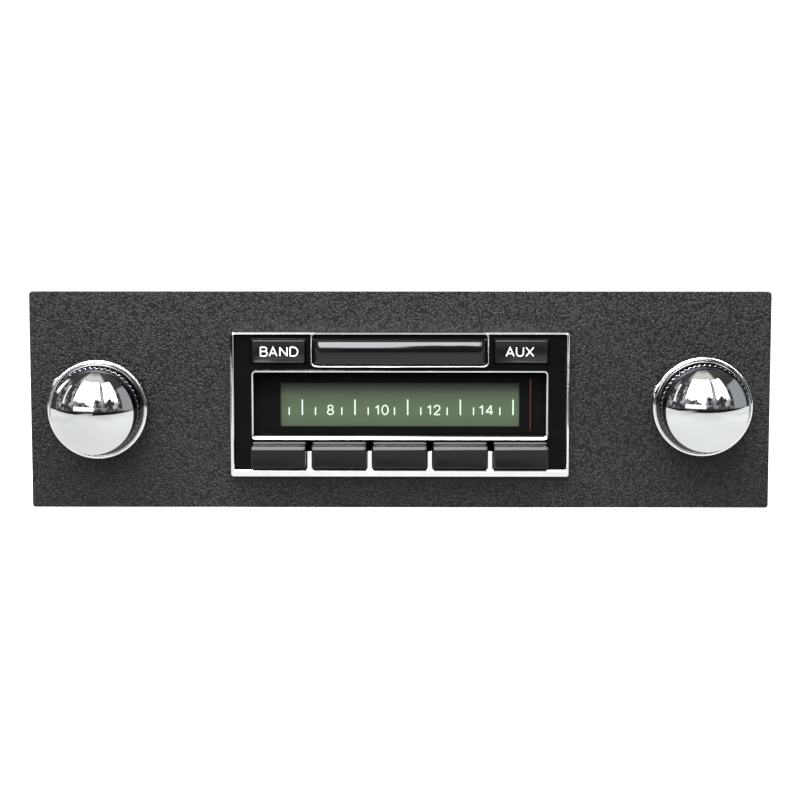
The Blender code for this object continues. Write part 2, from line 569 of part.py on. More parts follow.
# ---------------------------------------------------------------- chassis
def make_chassis():
    steel, w = MATERIALS["steel"], CHASSIS_HALF_W
    y0, y1 = CHASSIS_FRONT + SHEET + 0.3, CHASSIS_BACK - SHEET - 0.3
    low, high = CHASSIS_BOTTOM + SHEET + 0.3, CHASSIS_TOP - SHEET - 0.3
    pins = [circle(x, IDLER_Z, IDLER_PIN_R + GAP, 20) for x in (LEFT_IDLER_X, RIGHT_IDLER_X)]
    prism("chassis_front", rect(-w, w, CHASSIS_BOTTOM, CHASSIS_TOP),
          pins + [rounded_rect(-22, 22, 18, 27, 1.0, 2)], CHASSIS_FRONT, CHASSIS_FRONT + SHEET, steel)
    for name, side in (("chassis_left", -1), ("chassis_right", 1)):
        x0, x1 = sorted((side * w, side * (w - SHEET)))
        box(name, x0, x1, y0, y1, low, high, steel)
    vents = [rounded_rect(x - 1, x + 1, 78, 118, 0.9, 2) for x in range(-66, 67, 12)]
    prism("top_cover", rect(-w, w, y0, y1), vents, CHASSIS_TOP - SHEET, CHASSIS_TOP, steel, "Z")
    prism("bottom_cover", rect(-w, w, y0, y1), [], CHASSIS_BOTTOM, CHASSIS_BOTTOM + SHEET, steel, "Z")
    holes = [circle(0, AXIS_Z, BOLT_HOLE_R, 20), circle(*ANTENNA, 7.4, 28),
             rect(*WIRING_HOLE), circle(*AUX, 4.4, 24)]
    prism("chassis_rear", rect(-w, w, CHASSIS_BOTTOM, CHASSIS_TOP), holes,
          CHASSIS_BACK - SHEET, CHASSIS_BACK, steel)


def make_rear_sockets():
    x, z = ANTENNA
    y1, y0 = CHASSIS_BACK + 10.0, CHASSIS_BACK - 12.0
    profile = [(0, y0), (7.0, y0), (7.0, y1), (4.2, y1), (4.2, y0 + 3.0), (0, y0 + 3.0)]
    turned("antenna_socket", x, z, profile, MATERIALS["brass"], 28)
    x0, x1, z0, z1 = WIRING_HOLE
    g, wall = GAP, 1.5
    shell = box("wiring_socket", x0 + g, x1 - g, CHASSIS_BACK - 12, CHASSIS_BACK + 5,
                z0 + g, z1 - g, MATERIALS["black_plastic"])
    hollow = cutter_box("wiring_socket_cutter", x0 + g + wall, x1 - g - wall, CHASSIS_BACK - 9.5,
                        CHASSIS_BACK + 8, z0 + g + wall, z1 - g - wall)
    cut(shell, [hollow])
    x, z = AUX
    profile = [(0, y0 + 2), (4.0, y0 + 2), (4.0, CHASSIS_BACK + 3), (1.8, CHASSIS_BACK + 3),
               (1.8, CHASSIS_BACK - 8), (0, CHASSIS_BACK - 8)]
    turned("aux_socket", x, z, profile, MATERIALS["black_plastic"], 24)


def make_heat_sink():
    """A finned block outside the rear plate, open at the top and bottom of its fins."""
    x0, x1, base = SINK_X0, SINK_X1, CHASSIS_BACK + 0.3
    root, tip = base + SINK_BASE_T, base + SINK_DEPTH
    pitch = (x1 - x0 - FIN_T) / (SINK_FINS - 1)
    outline = [(x0, base), (x1, base)]
    for i in range(SINK_FINS - 1, -1, -1):
        left = x0 + i * pitch
        outline += [(left + FIN_T, root), (left + FIN_T, tip), (left, tip), (left, root)]
    # the end fins stand flush with the base, so their root corner is the base's own side
    outline = [p for p in outline if p not in ((x0, root), (x1, root))]
    prism("heat_sink", outline, [], SINK_LOW, SINK_HIGH, MATERIALS["aluminium"], "Z")


def make_insides():
    board_top = 17.6
    box("main_circuit_board", -82, 82, 21, 121, 16.0, board_top, MATERIALS["circuit"])
    box("tuner_can", 34, 78, 70, 112, board_top + 0.3, 32.0, MATERIALS["steel"])
    box("amplifier_chip", -62, -32, 115, 119.6, board_top + 0.3, 40.0, MATERIALS["chip"])


def make_rear_strap():
    """A bent strip bolted to the rear plate; its foot stands level with the panel's foot."""
    y0, sheet = CHASSIS_BACK + 0.3, STRAP_T
    outline = [(y0, 0), (y0 + STRAP_FOOT, 0), (y0 + STRAP_FOOT, sheet), (y0 + sheet, sheet),
               (y0 + sheet, STRAP_TOP), (y0, STRAP_TOP)]
    strap = prism("rear_strap", outline, [], -STRAP_HALF_W, STRAP_HALF_W, MATERIALS["steel"], "X")
    hole = cutter_rod("strap_hole_cutter", "Y", (0, AXIS_Z), BOLT_HOLE_R, y0 - 2, y0 + 4, 20)
    cut(strap, [hole])
    y, tip = y0 + sheet + 0.3, CHASSIS_BACK - 9
    profile = [(0, tip), (BOLT_R, tip), (BOLT_R, y), (BOLT_HEAD_R, y),
               (BOLT_HEAD_R, y + BOLT_HEAD_H), (0, y + BOLT_HEAD_H)]

    def shape(step, radius, angle):
        if step not in (3, 4):
            return radius
        # a hexagon head: the radius of a regular hexagon at this angle
        part = (angle % (math.pi / 3)) - math.pi / 6
        return radius * math.cos(math.pi / 6) / math.cos(part)

    turned("rear_bolt", 0, AXIS_Z, profile, MATERIALS["rod"], 24, shape=shape)


make_dash_panel()
make_bezel()
make_face_moulding()
make_bright_lines()
make_trim_bar()
make_dial_stack()
make_front_board()
make_nose_housing()
make_buttons()
make_pointer()
make_idler("left_idler_pulley", LEFT_IDLER_X)
make_idler("right_idler_pulley", RIGHT_IDLER_X)
make_drum()
make_cord()
make_controls()
make_chassis()
make_rear_sockets()
make_heat_sink()
make_insides()
make_rear_strap()
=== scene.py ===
"""Looks for the car radio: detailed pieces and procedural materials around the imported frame.

The frame is in metres; the sizes below are in millimetres unless they say otherwise, and
go through MM. The radio's front faces -Y.
"""
import json
import math

import bmesh
import bpy
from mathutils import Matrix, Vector
from mathutils.geometry import tessellate_polygon


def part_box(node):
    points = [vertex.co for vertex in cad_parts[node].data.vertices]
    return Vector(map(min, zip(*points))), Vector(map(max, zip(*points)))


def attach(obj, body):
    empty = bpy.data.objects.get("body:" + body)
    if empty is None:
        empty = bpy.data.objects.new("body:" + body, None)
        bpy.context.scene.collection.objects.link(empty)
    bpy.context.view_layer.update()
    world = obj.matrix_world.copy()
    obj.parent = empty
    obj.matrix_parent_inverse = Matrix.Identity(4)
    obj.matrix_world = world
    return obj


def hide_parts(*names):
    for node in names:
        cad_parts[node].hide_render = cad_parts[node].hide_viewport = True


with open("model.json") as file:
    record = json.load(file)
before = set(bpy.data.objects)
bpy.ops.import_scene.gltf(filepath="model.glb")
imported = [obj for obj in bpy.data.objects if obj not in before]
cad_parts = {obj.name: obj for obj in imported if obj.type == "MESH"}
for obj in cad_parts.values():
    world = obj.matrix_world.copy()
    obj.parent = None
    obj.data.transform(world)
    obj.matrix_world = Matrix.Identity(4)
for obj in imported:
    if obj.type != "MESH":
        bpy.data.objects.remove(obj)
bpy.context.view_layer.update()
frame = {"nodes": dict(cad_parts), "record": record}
NODES = frame["nodes"]
MM = 0.001
RECORD = frame["record"]
JOINTS = {joint["child"]: joint for joint in RECORD["behaviour"]["joints"]}
SHAFTS = {body: (joint["pos_m"][0] / MM, joint["pos_m"][2] / MM)
          for body, joint in JOINTS.items() if joint["type"] == "hinge"}
BODY_OF = {node: body for body, nodes in RECORD["behaviour"]["bodies"].items() for node in nodes}


# -------------------- places from the frame
def node_box(name):
    """A node's low and high corners at rest, in millimetres."""
    low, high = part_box(name)
    return [c / MM for c in low], [c / MM for c in high]


def node_centre(name):
    low, high = node_box(name)
    return [(a + b) / 2 for a, b in zip(low, high)]


# -------------------- shader helpers
def socket_name(key):
    return key.replace("_", " ")


class Tree:
    """A node tree, with short ways to add and wire its nodes."""

    def __init__(self, tree):
        self.tree = tree

    def add(self, kind, **settings):
        """A node; settings name its sockets, with _ for a space, or its own properties."""
        node = self.tree.nodes.new(kind)
        for key, value in settings.items():
            if socket_name(key) in node.inputs:
                node.inputs[socket_name(key)].default_value = value
            else:
                setattr(node, key, value)
        return node

    def link(self, source, target):
        self.tree.links.new(source, target)

    def math(self, operation, *inputs):
        """A maths node whose inputs are numbers or sockets."""
        node = self.add("ShaderNodeMath", operation=operation)
        for socket, value in zip(node.inputs, inputs):
            if isinstance(value, (int, float)):
                socket.default_value = value
            else:
                self.link(value, socket)
        return node.outputs["Value"]

    def axes(self, vector):
        node = self.add("ShaderNodeSeparateXYZ")
        self.link(vector, node.inputs["Vector"])
        return [node.outputs[axis] for axis in "XYZ"]

    def noise(self, scale, detail=4.0, rough=0.55, vector=None):
        node = self.add("ShaderNodeTexNoise", Scale=scale, Detail=detail, Roughness=rough)
        self.link(vector if vector is not None else self.coords(), node.inputs["Vector"])
        return node.outputs["Fac"]

    def coords(self):
        return self.add("ShaderNodeTexCoord").outputs["Object"]

    def ramp(self, factor, stops):
        """Colour ramp from (position, colour) stops."""
        node = self.add("ShaderNodeValToRGB")
        elements = node.color_ramp.elements
        while len(elements) < len(stops):
            elements.new(0.5)
        for element, (position, colour) in zip(elements, stops):
            element.position = position
            element.color = (*colour, 1.0)
        self.link(factor, node.inputs["Fac"])
        return node.outputs["Color"]

    def map(self, value, low, high, from_low=0.0, from_high=1.0, curve="LINEAR"):
        node = self.add("ShaderNodeMapRange", interpolation_type=curve, From_Min=from_low,
                        From_Max=from_high, To_Min=low, To_Max=high)
        self.link(value, node.inputs["Value"])
        return node.outputs["Result"]

    def blend(self, first, second, kind="MULTIPLY", factor=1.0):
        node = self.add("ShaderNodeMix", data_type="RGBA", blend_type=kind, Factor=factor)
        self.link(first, node.inputs["A"])
        self.link(second, node.inputs["B"])
        return node.outputs["Result"]

    def either(self, share, first, second):
        """The first shader where the share is 0 and the second where it is 1."""
        node = self.add("ShaderNodeMixShader")
        for socket, source in zip(node.inputs, (share, first, second)):
            self.link(source, socket)
        return node.outputs["Shader"]


MAT = {}        # every material that is made here, by its slot or its own name


class Nodes(Tree):
    """A new material's node tree, with ways to reach its main shader."""

    def __init__(self, name):
        self.material = MAT[name] = bpy.data.materials.new(name)
        self.material.use_nodes = True
        super().__init__(self.material.node_tree)
        self.shader = self.tree.nodes["Principled BSDF"]

    def set(self, **values):
        for key, value in values.items():
            self.shader.inputs[socket_name(key)].default_value = value

    def bump(self, height, strength, distance_mm, normal=None):
        node = self.add("ShaderNodeBump", Strength=strength, Distance=distance_mm * MM)
        self.link(height, node.inputs["Height"])
        if normal is not None:
            self.link(normal, node.inputs["Normal"])
        return node.outputs["Normal"]

    def wire(self, source, socket):
        self.link(source, self.shader.inputs[socket])
        return self


def wrinkle_paint():
    """Baked wrinkle finish: rounded lumps under a millimetre across. Painted shade darkens the creases
    between them and a painted highlight lightens the lump tops.
    """
    m = Nodes("wrinkle_paint")
    place = m.coords()
    warp = m.add("ShaderNodeTexNoise", Scale=700.0, Detail=2.0)
    m.link(place, warp.inputs["Vector"])
    shift = m.add("ShaderNodeVectorMath", operation="MULTIPLY_ADD")
    m.link(warp.outputs["Color"], shift.inputs[0])
    shift.inputs[1].default_value = (1.1 * MM, 1.1 * MM, 1.1 * MM)
    m.link(place, shift.inputs[2])
    cells = m.add("ShaderNodeTexVoronoi", feature="SMOOTH_F1", Scale=1500.0, Smoothness=0.6)
    m.link(shift.outputs["Vector"], cells.inputs["Vector"])
    lump = m.map(cells.outputs["Distance"], 1.0, 0.0, 0.05, 0.75)
    coarse = m.noise(420.0, 2.0, 0.5, place)
    grain = m.noise(3200.0, 2.0, 0.6, place)
    cloud = m.noise(38.0, 3.0, 0.5, place)
    height = m.math("MULTIPLY_ADD", coarse, 1.4, lump)
    # painted shade and highlight: the tone runs from near black in the creases to lighter on the lump
    # tops
    tone = m.ramp(lump, [(0.15, (0.0040, 0.0043, 0.0043)), (0.55, (0.0115, 0.0122, 0.0123)),
                         (0.95, (0.0230, 0.0243, 0.0245))])
    patches = m.ramp(cloud, [(0.3, (0.84, 0.84, 0.84)), (0.7, (1.0, 1.0, 1.0))])
    m.wire(m.blend(tone, patches), "Base Color")
    m.wire(m.map(grain, 0.34, 0.50, 0.3, 0.7), "Roughness")
    m.wire(m.bump(height, 1.0, 0.15, m.bump(grain, 0.5, 0.03)), "Normal")
    m.set(Specular_IOR_Level=0.2)


def chrome():
    """Bright plating with a faint haze and a very slight waviness."""
    m = Nodes("chrome_plate")
    place = m.coords()
    haze = m.noise(220.0, 4.0, 0.6, place)
    tone = (0.94, 0.95, 0.955)
    darker = tuple(c * 0.93 for c in tone)
    m.wire(m.ramp(haze, [(0.35, darker), (0.65, tone)]), "Base Color")
    m.wire(m.map(haze, 0.03, 0.09, 0.4, 0.75), "Roughness")
    m.wire(m.bump(m.noise(900.0, 2.0, 0.5, place), 0.08, 0.01), "Normal")
    m.set(Metallic=1.0)


def plastic(name, colour, rough, grain_scale, grain_mm, level=0.5, spread=0.12):
    """Moulded plastic with a fine surface grain and slightly uneven gloss."""
    m = Nodes(name)
    place = m.coords()
    cloud = m.noise(90.0, 4.0, 0.6, place)
    grain = m.noise(grain_scale, 3.0, 0.6, place)
    dark = tuple(c * 0.82 for c in colour)
    m.wire(m.ramp(cloud, [(0.3, dark), (0.7, colour)]), "Base Color")
    m.wire(m.map(cloud, rough, rough + spread, 0.35, 0.75), "Roughness")
    m.wire(m.bump(grain, 0.5, grain_mm), "Normal")
    m.set(Specular_IOR_Level=level)


def metal(name, colour, rough, scale, spread=0.15, depth_mm=0.01, patches=0.10):
    """Sheet or turned metal; a stretched noise gives the direction of its finish."""
    m = Nodes(name)
    place = m.coords()
    stretch = m.add("ShaderNodeMapping", Scale=scale)
    m.link(place, stretch.inputs["Vector"])
    lines = m.noise(40.0, 5.0, 0.65, stretch.outputs["Vector"])
    cloud = m.noise(45.0, 4.0, 0.55, place)
    dark = tuple(c * (1 - patches * 2) for c in colour)
    m.wire(m.ramp(cloud, [(0.3, dark), (0.7, colour)]), "Base Color")
    m.wire(m.map(lines, rough, rough + spread, 0.3, 0.75), "Roughness")
    m.wire(m.bump(lines, 0.35, depth_mm), "Normal")
    m.set(Metallic=1.0)


def zinc():
    """Zinc-plated sheet: dull grey with a faint spangle and patches of tone."""
    m = Nodes("zinc_plated_steel")
    place = m.coords()
    cells = m.add("ShaderNodeTexVoronoi", Scale=260.0)
    m.link(place, cells.inputs["Vector"])
    cloud = m.noise(28.0, 5.0, 0.6, place)
    sheet = m.ramp(cloud, [(0.3, (0.145, 0.150, 0.148)), (0.55, (0.185, 0.188, 0.180)),
                           (0.75, (0.215, 0.212, 0.190))])
    spangle = m.ramp(cells.outputs["Color"], [(0.0, (0.13, 0.135, 0.135)),
                                              (1.0, (0.26, 0.26, 0.25))])
    m.wire(m.blend(sheet, spangle, "MIX", 0.16), "Base Color")
    m.wire(m.map(cloud, 0.44, 0.60, 0.3, 0.7), "Roughness")
    m.wire(m.bump(m.noise(500.0, 3.0, 0.6, place), 0.2, 0.02), "Normal")
    m.set(Metallic=0.14, Specular_IOR_Level=0.06)


def dial_green():
    """The dial behind the lens: grey green with a faint mottle, painted shade darkening its top, and a
    faint painted glow.
    """
    m = Nodes("dial_green")
    place = m.coords()
    height = m.map(m.axes(place)[2], 0.0, 1.0, 26.0 * MM, 40.0 * MM)
    # painted shade: the ramp darkens steeply towards the dial's top edge
    base = m.ramp(height, [(0.0, (0.053, 0.072, 0.043)), (0.35, (0.062, 0.085, 0.050)),
                           (0.72, (0.053, 0.072, 0.044)), (0.86, (0.031, 0.041, 0.027)),
                           (1.0, (0.012, 0.016, 0.011))])
    mottle = m.noise(260.0, 4.0, 0.6, place)
    green_with_painted_shade = m.blend(base, m.ramp(mottle, [(0.3, (0.88, 0.88, 0.88)), (0.7, (1.0, 1.0, 1.0))]))
    # a faint painted glow: the dial gives off its own colour, though no lamp lights it
    m.wire(green_with_painted_shade, "Base Color").wire(green_with_painted_shade, "Emission Color")
    m.set(Emission_Strength=0.02, Roughness=0.45, Specular_IOR_Level=0.2)


def dial_ink():
    """Pale printed marks with a faint painted glow, like the dial's."""
    m = Nodes("dial_ink")
    tone = m.ramp(m.noise(700.0, 3.0, 0.6), [(0.3, (0.42, 0.51, 0.41)), (0.7, (0.52, 0.60, 0.50))])
    # a faint painted glow on the print
    m.wire(tone, "Base Color").wire(tone, "Emission Color")
    m.set(Emission_Strength=0.10, Roughness=0.5)


def matt_ink(name, scale, dark, light, gloss_scale, gloss):
    """Printed or painted colour that doesn't glow, slightly uneven in tone and gloss."""
    m = Nodes(name)
    m.wire(m.ramp(m.noise(scale, 3.0, 0.6), [(0.3, dark), (0.7, light)]), "Base Color")
    m.wire(m.map(m.noise(gloss_scale), *gloss), "Roughness")


def lens():
    """Clear acrylic, nearly invisible head-on, with a thin film of haze."""
    m = Nodes("clear_lens")
    haze = m.noise(120.0, 4.0, 0.6)
    m.wire(m.ramp(haze, [(0.3, (0.002, 0.0022, 0.002)), (0.7, (0.004, 0.0044, 0.004))]), "Base Color")
    m.wire(m.map(haze, 0.04, 0.10), "Roughness")
    m.set(Alpha=0.10, Specular_IOR_Level=0.3)


def circuit():
    """Solder mask over a grid of faint tracks."""
    m = Nodes("circuit_board_green")
    place = m.coords()
    tracks = m.add("ShaderNodeTexBrick", Scale=260.0, Mortar_Size=0.06,
                   Color1=(0.010, 0.105, 0.040, 1.0), Color2=(0.016, 0.130, 0.052, 1.0),
                   Mortar=(0.030, 0.190, 0.075, 1.0))
    m.link(place, tracks.inputs["Vector"])
    m.wire(tracks.outputs["Color"], "Base Color")
    m.wire(m.map(m.noise(300.0, 3.0, 0.6, place), 0.28, 0.46), "Roughness")
    m.wire(m.bump(tracks.outputs["Fac"], 0.3, 0.03), "Normal")


wrinkle_paint()
chrome()
lens()
dial_green()
dial_ink()
circuit()
zinc()
plastic("gloss_black_plastic", (0.0018, 0.0019, 0.0018), 0.16, 700.0, 0.006, level=0.055)
plastic("badge_black", (0.0025, 0.0025, 0.0028), 0.05, 500.0, 0.003, level=0.46, spread=0.05)
plastic("matte_key_plastic", (0.0040, 0.0046, 0.0047), 0.12, 2600.0, 0.004, level=0.27, spread=0.05)
plastic("matte_mask_card", (0.0010, 0.0011, 0.0010), 0.6, 1500.0, 0.02, level=0.04)
plastic("white_diffuser", (0.80, 0.80, 0.76), 0.45, 900.0, 0.02)
plastic("black_plastic", (0.018, 0.018, 0.019), 0.42, 1400.0, 0.03)
plastic("white_acetal", (0.72, 0.71, 0.66), 0.38, 1100.0, 0.02)
plastic("braided_nylon", (0.50, 0.44, 0.32), 0.75, 3200.0, 0.12)
plastic("epoxy_package", (0.020, 0.020, 0.022), 0.55, 1800.0, 0.03)
# A dark chrome that paints shade on the knob necks and the ring dishes.
metal("painted_shade_metal", (0.09, 0.092, 0.095), 0.10, (1, 1, 1), 0.06, 0.002)
metal("polished_steel", (0.62, 0.62, 0.62), 0.14, (1, 30, 1))
metal("nickel_plated_brass", (0.68, 0.63, 0.50), 0.20, (1, 25, 1))
metal("aluminium", (0.50, 0.51, 0.52), 0.36, (30, 1, 30))
metal("knob_polish", (0.76, 0.77, 0.77), 0.015, (1, 1, 1), 0.03, 0.001, 0.01)
matt_ink("needle_red", 900.0, (0.034, 0.0012, 0.0020), (0.052, 0.0018, 0.0030), 700.0, (0.38, 0.5))
matt_ink("label_ink", 500.0, (0.60, 0.61, 0.62), (0.72, 0.73, 0.74), 900.0, (0.4, 0.6))

for entry in RECORD["subparts"]:
    node = NODES[entry["node"]]
    node.data.materials.clear()
    node.data.materials.append(MAT[entry["material_slot"]])


# -------------------- mesh helpers, in millimetres
def add_object(name, data):
    made = bpy.data.objects.new(name, data)
    bpy.context.collection.objects.link(made)
    return made


def piece(name, verts, faces, material, body="radio", smooth=30, replaces=()):
    """A mesh piece that rides on a body; edges sharper than `smooth` degrees stay crisp."""
    mesh = bpy.data.meshes.new(name)
    mesh.from_pydata([tuple(c * MM for c in v) for v in verts], [], faces)
    shell = bmesh.new()
    shell.from_mesh(mesh)
    bmesh.ops.recalc_face_normals(shell, faces=shell.faces)
    shell.to_mesh(mesh)
    shell.free()
    mesh.materials.append(MAT[material])
    made = add_object(name, mesh)
    mesh.shade_smooth()
    mesh.set_sharp_from_angle(angle=math.radians(smooth))
    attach(made, body)
    if replaces:
        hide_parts(*replaces)
    return made


def paint_shade_faces(made, material, test):
    """Give the faces whose centre (in mm) passes a test another material, here a dark metal that paints
    shade.
    """
    made.data.materials.append(MAT[material])
    for face in made.data.polygons:
        if test([c / MM for c in face.center]):
            face.material_index = 1


def soften(made, width, segments=3):
    """Round a piece's sharp edges."""
    bevel = made.modifiers.new("soft_edges", "BEVEL")
    bevel.width, bevel.segments = width * MM, segments
    bevel.limit_method, bevel.angle_limit = "ANGLE", math.radians(35)


def circle(cu, cv, radius, count):
    return [(cu + radius * math.cos(2 * math.pi * i / count),
             cv + radius * math.sin(2 * math.pi * i / count)) for i in range(count)]


def oval(cu, cv, ru, rv, start=0, end=360, steps=20):
    """Points on an ellipse; a full turn leaves out the repeated last point."""
    full = end - start == 360
    return [(cu + ru * math.cos(math.radians(start + (end - start) * i / steps)),
             cv + rv * math.sin(math.radians(start + (end - start) * i / steps)))
            for i in range(steps if full else steps + 1)]


def arc(cu, cv, radius, start, end, steps):
    """Points on an arc between two angles in degrees, both ends included."""
    return oval(cu, cv, radius, radius, start, end, steps)


def rectangle(u0, u1, v0, v1):
    return [(u0, v0), (u1, v0), (u1, v1), (u0, v1)]


def rounded_rect(u0, u1, v0, v1, radius, steps=6):
    corners = [(u1 - radius, v0 + radius, -90), (u1 - radius, v1 - radius, 0),
               (u0 + radius, v1 - radius, 90), (u0 + radius, v0 + radius, 180)]
    return [(cu + radius * math.cos(math.radians(first + 90 * i / steps)),
             cv + radius * math.sin(math.radians(first + 90 * i / steps)))
            for cu, cv, first in corners for i in range(steps + 1)]


def skin(near, far, count):
    """The four-sided faces between two rings of vertices, from each ring's first vertex."""
    return [(near + i, near + (i + 1) % count, far + (i + 1) % count, far + i)
            for i in range(count)]


def join(verts, faces, more_verts, more_faces):
    """Add a shape to lists of vertices and faces."""
    faces += [tuple(i + len(verts) for i in face) for face in more_faces]
    verts += more_verts


PLACE = {"Y": lambda u, v, w: (u, w, v), "X": lambda u, v, w: (w, u, v),
         "Z": lambda u, v, w: (u, v, w)}


def prism(name, outer, holes, low, high, material, axis="Y", **options):
    """An outline with holes, extruded along an axis."""
    loops = [outer] + list(holes)
    points = [point for loop in loops for point in loop]
    count = len(points)
    caps = tessellate_polygon([[Vector((u, v, 0)) for u, v in loop] for loop in loops])
    verts = [PLACE[axis](u, v, w) for w in (low, high) for u, v in points]
    faces = [tuple(cap) for cap in caps] + [tuple(i + count for i in cap) for cap in caps]
    first = 0
    for loop in loops:
        faces += skin(first, first + count, len(loop))
        first += len(loop)
    return piece(name, verts, faces, material, **options)


def loft(name, sections, material, axis="Y", closed=False, **options):
    """A skin through outlines of equal length, given as (place along the axis, outline).

    An open loft is capped at both ends; a closed one joins its last outline to its first.
    """
    size = len(sections[0][1])
    verts = [PLACE[axis](u, v, w) for w, outline in sections for u, v in outline]
    faces = [] if closed else [tuple(range(size)), tuple(range(len(verts) - size, len(verts)))]
    for k in range(len(sections) if closed else len(sections) - 1):
        faces += skin(k * size, (k + 1) % len(sections) * size, size)
    return piece(name, verts, faces, material, **options)


def turned(name, centre, profile, material, count, closed=False, shape=None, **options):
    """A body turned about an axis along Y through (x, z), from (radius, y) points."""
    cx, cz = centre
    verts, rings = [], []
    for step, (radius, y) in enumerate(profile):
        if radius < 1e-6:
            rings.append([len(verts)])
            verts.append((cx, y, cz))
            continue
        rings.append(list(range(len(verts), len(verts) + count)))
        for i in range(count):
            angle = 2 * math.pi * i / count
            r = shape(step, radius, angle) if shape else radius
            verts.append((cx + r * math.cos(angle), y, cz + r * math.sin(angle)))
    faces = []
    for near, far in list(zip(rings, rings[1:])) + ([(rings[-1], rings[0])] if closed else []):
        if len(near) == len(far):
            faces += skin(near[0], far[0], count)
        elif len(near) == 1:
            faces += [(near[0], far[i], far[(i + 1) % count]) for i in range(count)]
        else:
            faces += [(near[i], near[(i + 1) % count], far[0]) for i in range(count)]
    return piece(name, verts, faces, material, **options)


def ribbon(points, half, closed, near, far):
    """A flat band of even width along a path in the XZ plane: its vertices and faces."""
    verts, faces, count = [], [], len(points)
    for i, (u, v) in enumerate(points):
        before = points[i - 1] if i or closed else points[0]
        after = points[(i + 1) % count] if i < count - 1 or closed else points[-1]
        ways = [Vector(b) - Vector(a) for a, b in ((before, (u, v)), ((u, v), after)) if a != b]
        ways = [way.normalized() for way in ways]
        along = sum(ways, Vector((0, 0))).normalized()
        wide = half / max(0.45, along.dot(ways[0]))     # a sharp corner's mitre is cut short
        du, dv = -along.y * wide, along.x * wide
        verts += [(u + du, near, v + dv), (u - du, near, v - dv),
                  (u - du, far, v - dv), (u + du, far, v + dv)]
    for i in range(count if closed else count - 1):
        faces += skin(4 * i, 4 * ((i + 1) % count), 4)
    if not closed:
        faces += [(0, 1, 2, 3), tuple(4 * count - 4 + k for k in range(4))]
    return verts, faces


# Plain letters and figures one unit high: width, then strokes as (closed, path).
GLYPHS = {
    "A": (0.87, [(0, [(0, 0), (0.435, 1), (0.87, 0)]), (0, [(0.15, 0.31), (0.72, 0.31)])]),
    "B": (0.76, [(0, [(0, 0), (0, 1)]),
                 (0, [(0, 1), (0.44, 1)] + oval(0.44, 0.765, 0.26, 0.235, 80, -80, 8)
                  + [(0.44, 0.53), (0, 0.53)]),
                 (0, [(0, 0.53), (0.48, 0.53)] + oval(0.48, 0.265, 0.28, 0.265, 80, -80, 8)
                  + [(0.48, 0), (0, 0)])]),
    "D": (0.86, [(0, [(0, 0), (0, 1)]),
                 (0, [(0, 1), (0.36, 1)] + oval(0.36, 0.5, 0.50, 0.5, 80, -80, 12)
                  + [(0.36, 0), (0, 0)])]),
    "N": (0.80, [(0, [(0, 0), (0, 1)]), (0, [(0, 0.97), (0.80, 0.03)]), (0, [(0.80, 0), (0.80, 1)])]),
    "U": (0.79, [(0, [(0, 1), (0, 0.40)] + oval(0.395, 0.40, 0.395, 0.40, 190, 350, 12)
                  + [(0.79, 0.40), (0.79, 1)])]),
    "X": (0.86, [(0, [(0, 0), (0.86, 1)]), (0, [(0, 1), (0.86, 0)])]),
    "0": (0.66, [(1, oval(0.33, 0.5, 0.33, 0.5))]),
    "1": (0.30, [(0, [(0.30, 0), (0.30, 1)]), (0, [(0.30, 0.98), (0.18, 0.84), (0, 0.74)])]),
    "2": (0.66, [(0, [(0.02, 0.72)] + oval(0.32, 0.71, 0.30, 0.29, 160, -38, 12)
                  + [(0.16, 0.16), (0.02, 0)]), (0, [(0, 0), (0.66, 0)])]),
    "4": (0.74, [(0, [(0.54, 0), (0.54, 1)]), (0, [(0.54, 0.98), (0, 0.27)]),
                 (0, [(0, 0.27), (0.74, 0.27)])]),
    "8": (0.64, [(1, oval(0.32, 0.76, 0.26, 0.24)), (1, oval(0.32, 0.26, 0.32, 0.26))]),
}


PRINT_RISE, PRINT_SINK = 0.05, 0.01     # print stands out a little and reaches a little way in


def written(name, text, left, foot, height, gap, half, y, material, **options):
    """Raised print of generic words or numbers, facing the front, from its lower left corner.

    `gap` is the space after a letter, or one space for each letter.
    """
    verts, faces, tall = [], [], height - 2 * half
    for number, letter in enumerate(text):
        width, strokes = GLYPHS[letter]
        for step, (closed, path) in enumerate(strokes):     # strokes that cross lie a hair apart
            path = [(left + half + u * tall, foot + half + v * tall) for u, v in path]
            join(verts, faces, *ribbon(path, half, closed, y - PRINT_RISE - 0.006 * step,
                                       y + PRINT_SINK))
        left += width * tall + 2 * half + (gap[number] if isinstance(gap, tuple) else gap)
    return piece(name, verts, faces, material, **options)


# -------------------- the front of the radio
PANEL_FRONT = node_box("dash_panel")[0][1]
KEYS = [f"preset_button_{number}" for number in range(1, 6)]
LINE_WIDTH = 0.62                       # the bright lines round the window and the badge
WINDOW_SILL = 1.5                       # the window's line is wider along its bottom
LABEL_HEIGHT, LABEL_STROKE = 3.1, 0.165     # a stroke's size is half its width
NUMBER_HEIGHT, NUMBER_STROKE = 3.35, 0.205
GUIDE_NEAR, GUIDE_FAR = 4.35, 4.85      # the key guides' depth


def front(height):
    """Y of a point that stands this far in front of the panel."""
    return PANEL_FRONT - height


def standing(profile):
    """(radius, Y) points from (radius, height in front of the panel) points."""
    return [(radius, front(height)) for radius, height in profile]


def blend_outlines(outer, inner, t):
    return [(a[0] + (b[0] - a[0]) * t, a[1] + (b[1] - a[1]) * t) for a, b in zip(outer, inner)]


CLIMB = [(0.0, 0.0), (0.015, 0.16)] + [(0.103 * k, (k / 7) ** 0.7) for k in range(1, 8)]
CLIMB += [(0.721 + 0.279 * math.sin(0.314 * k), math.cos(0.314 * k)) for k in range(1, 6)]
SCOOP = [(0.0, 0.0), (0.03, 0.5), (0.09, 0.88), (0.16, 1.0), (0.24, 0.94), (0.35, 0.81), (0.46, 0.71),
         (0.62, 0.64), (0.82, 0.60), (1.0, 0.58)]


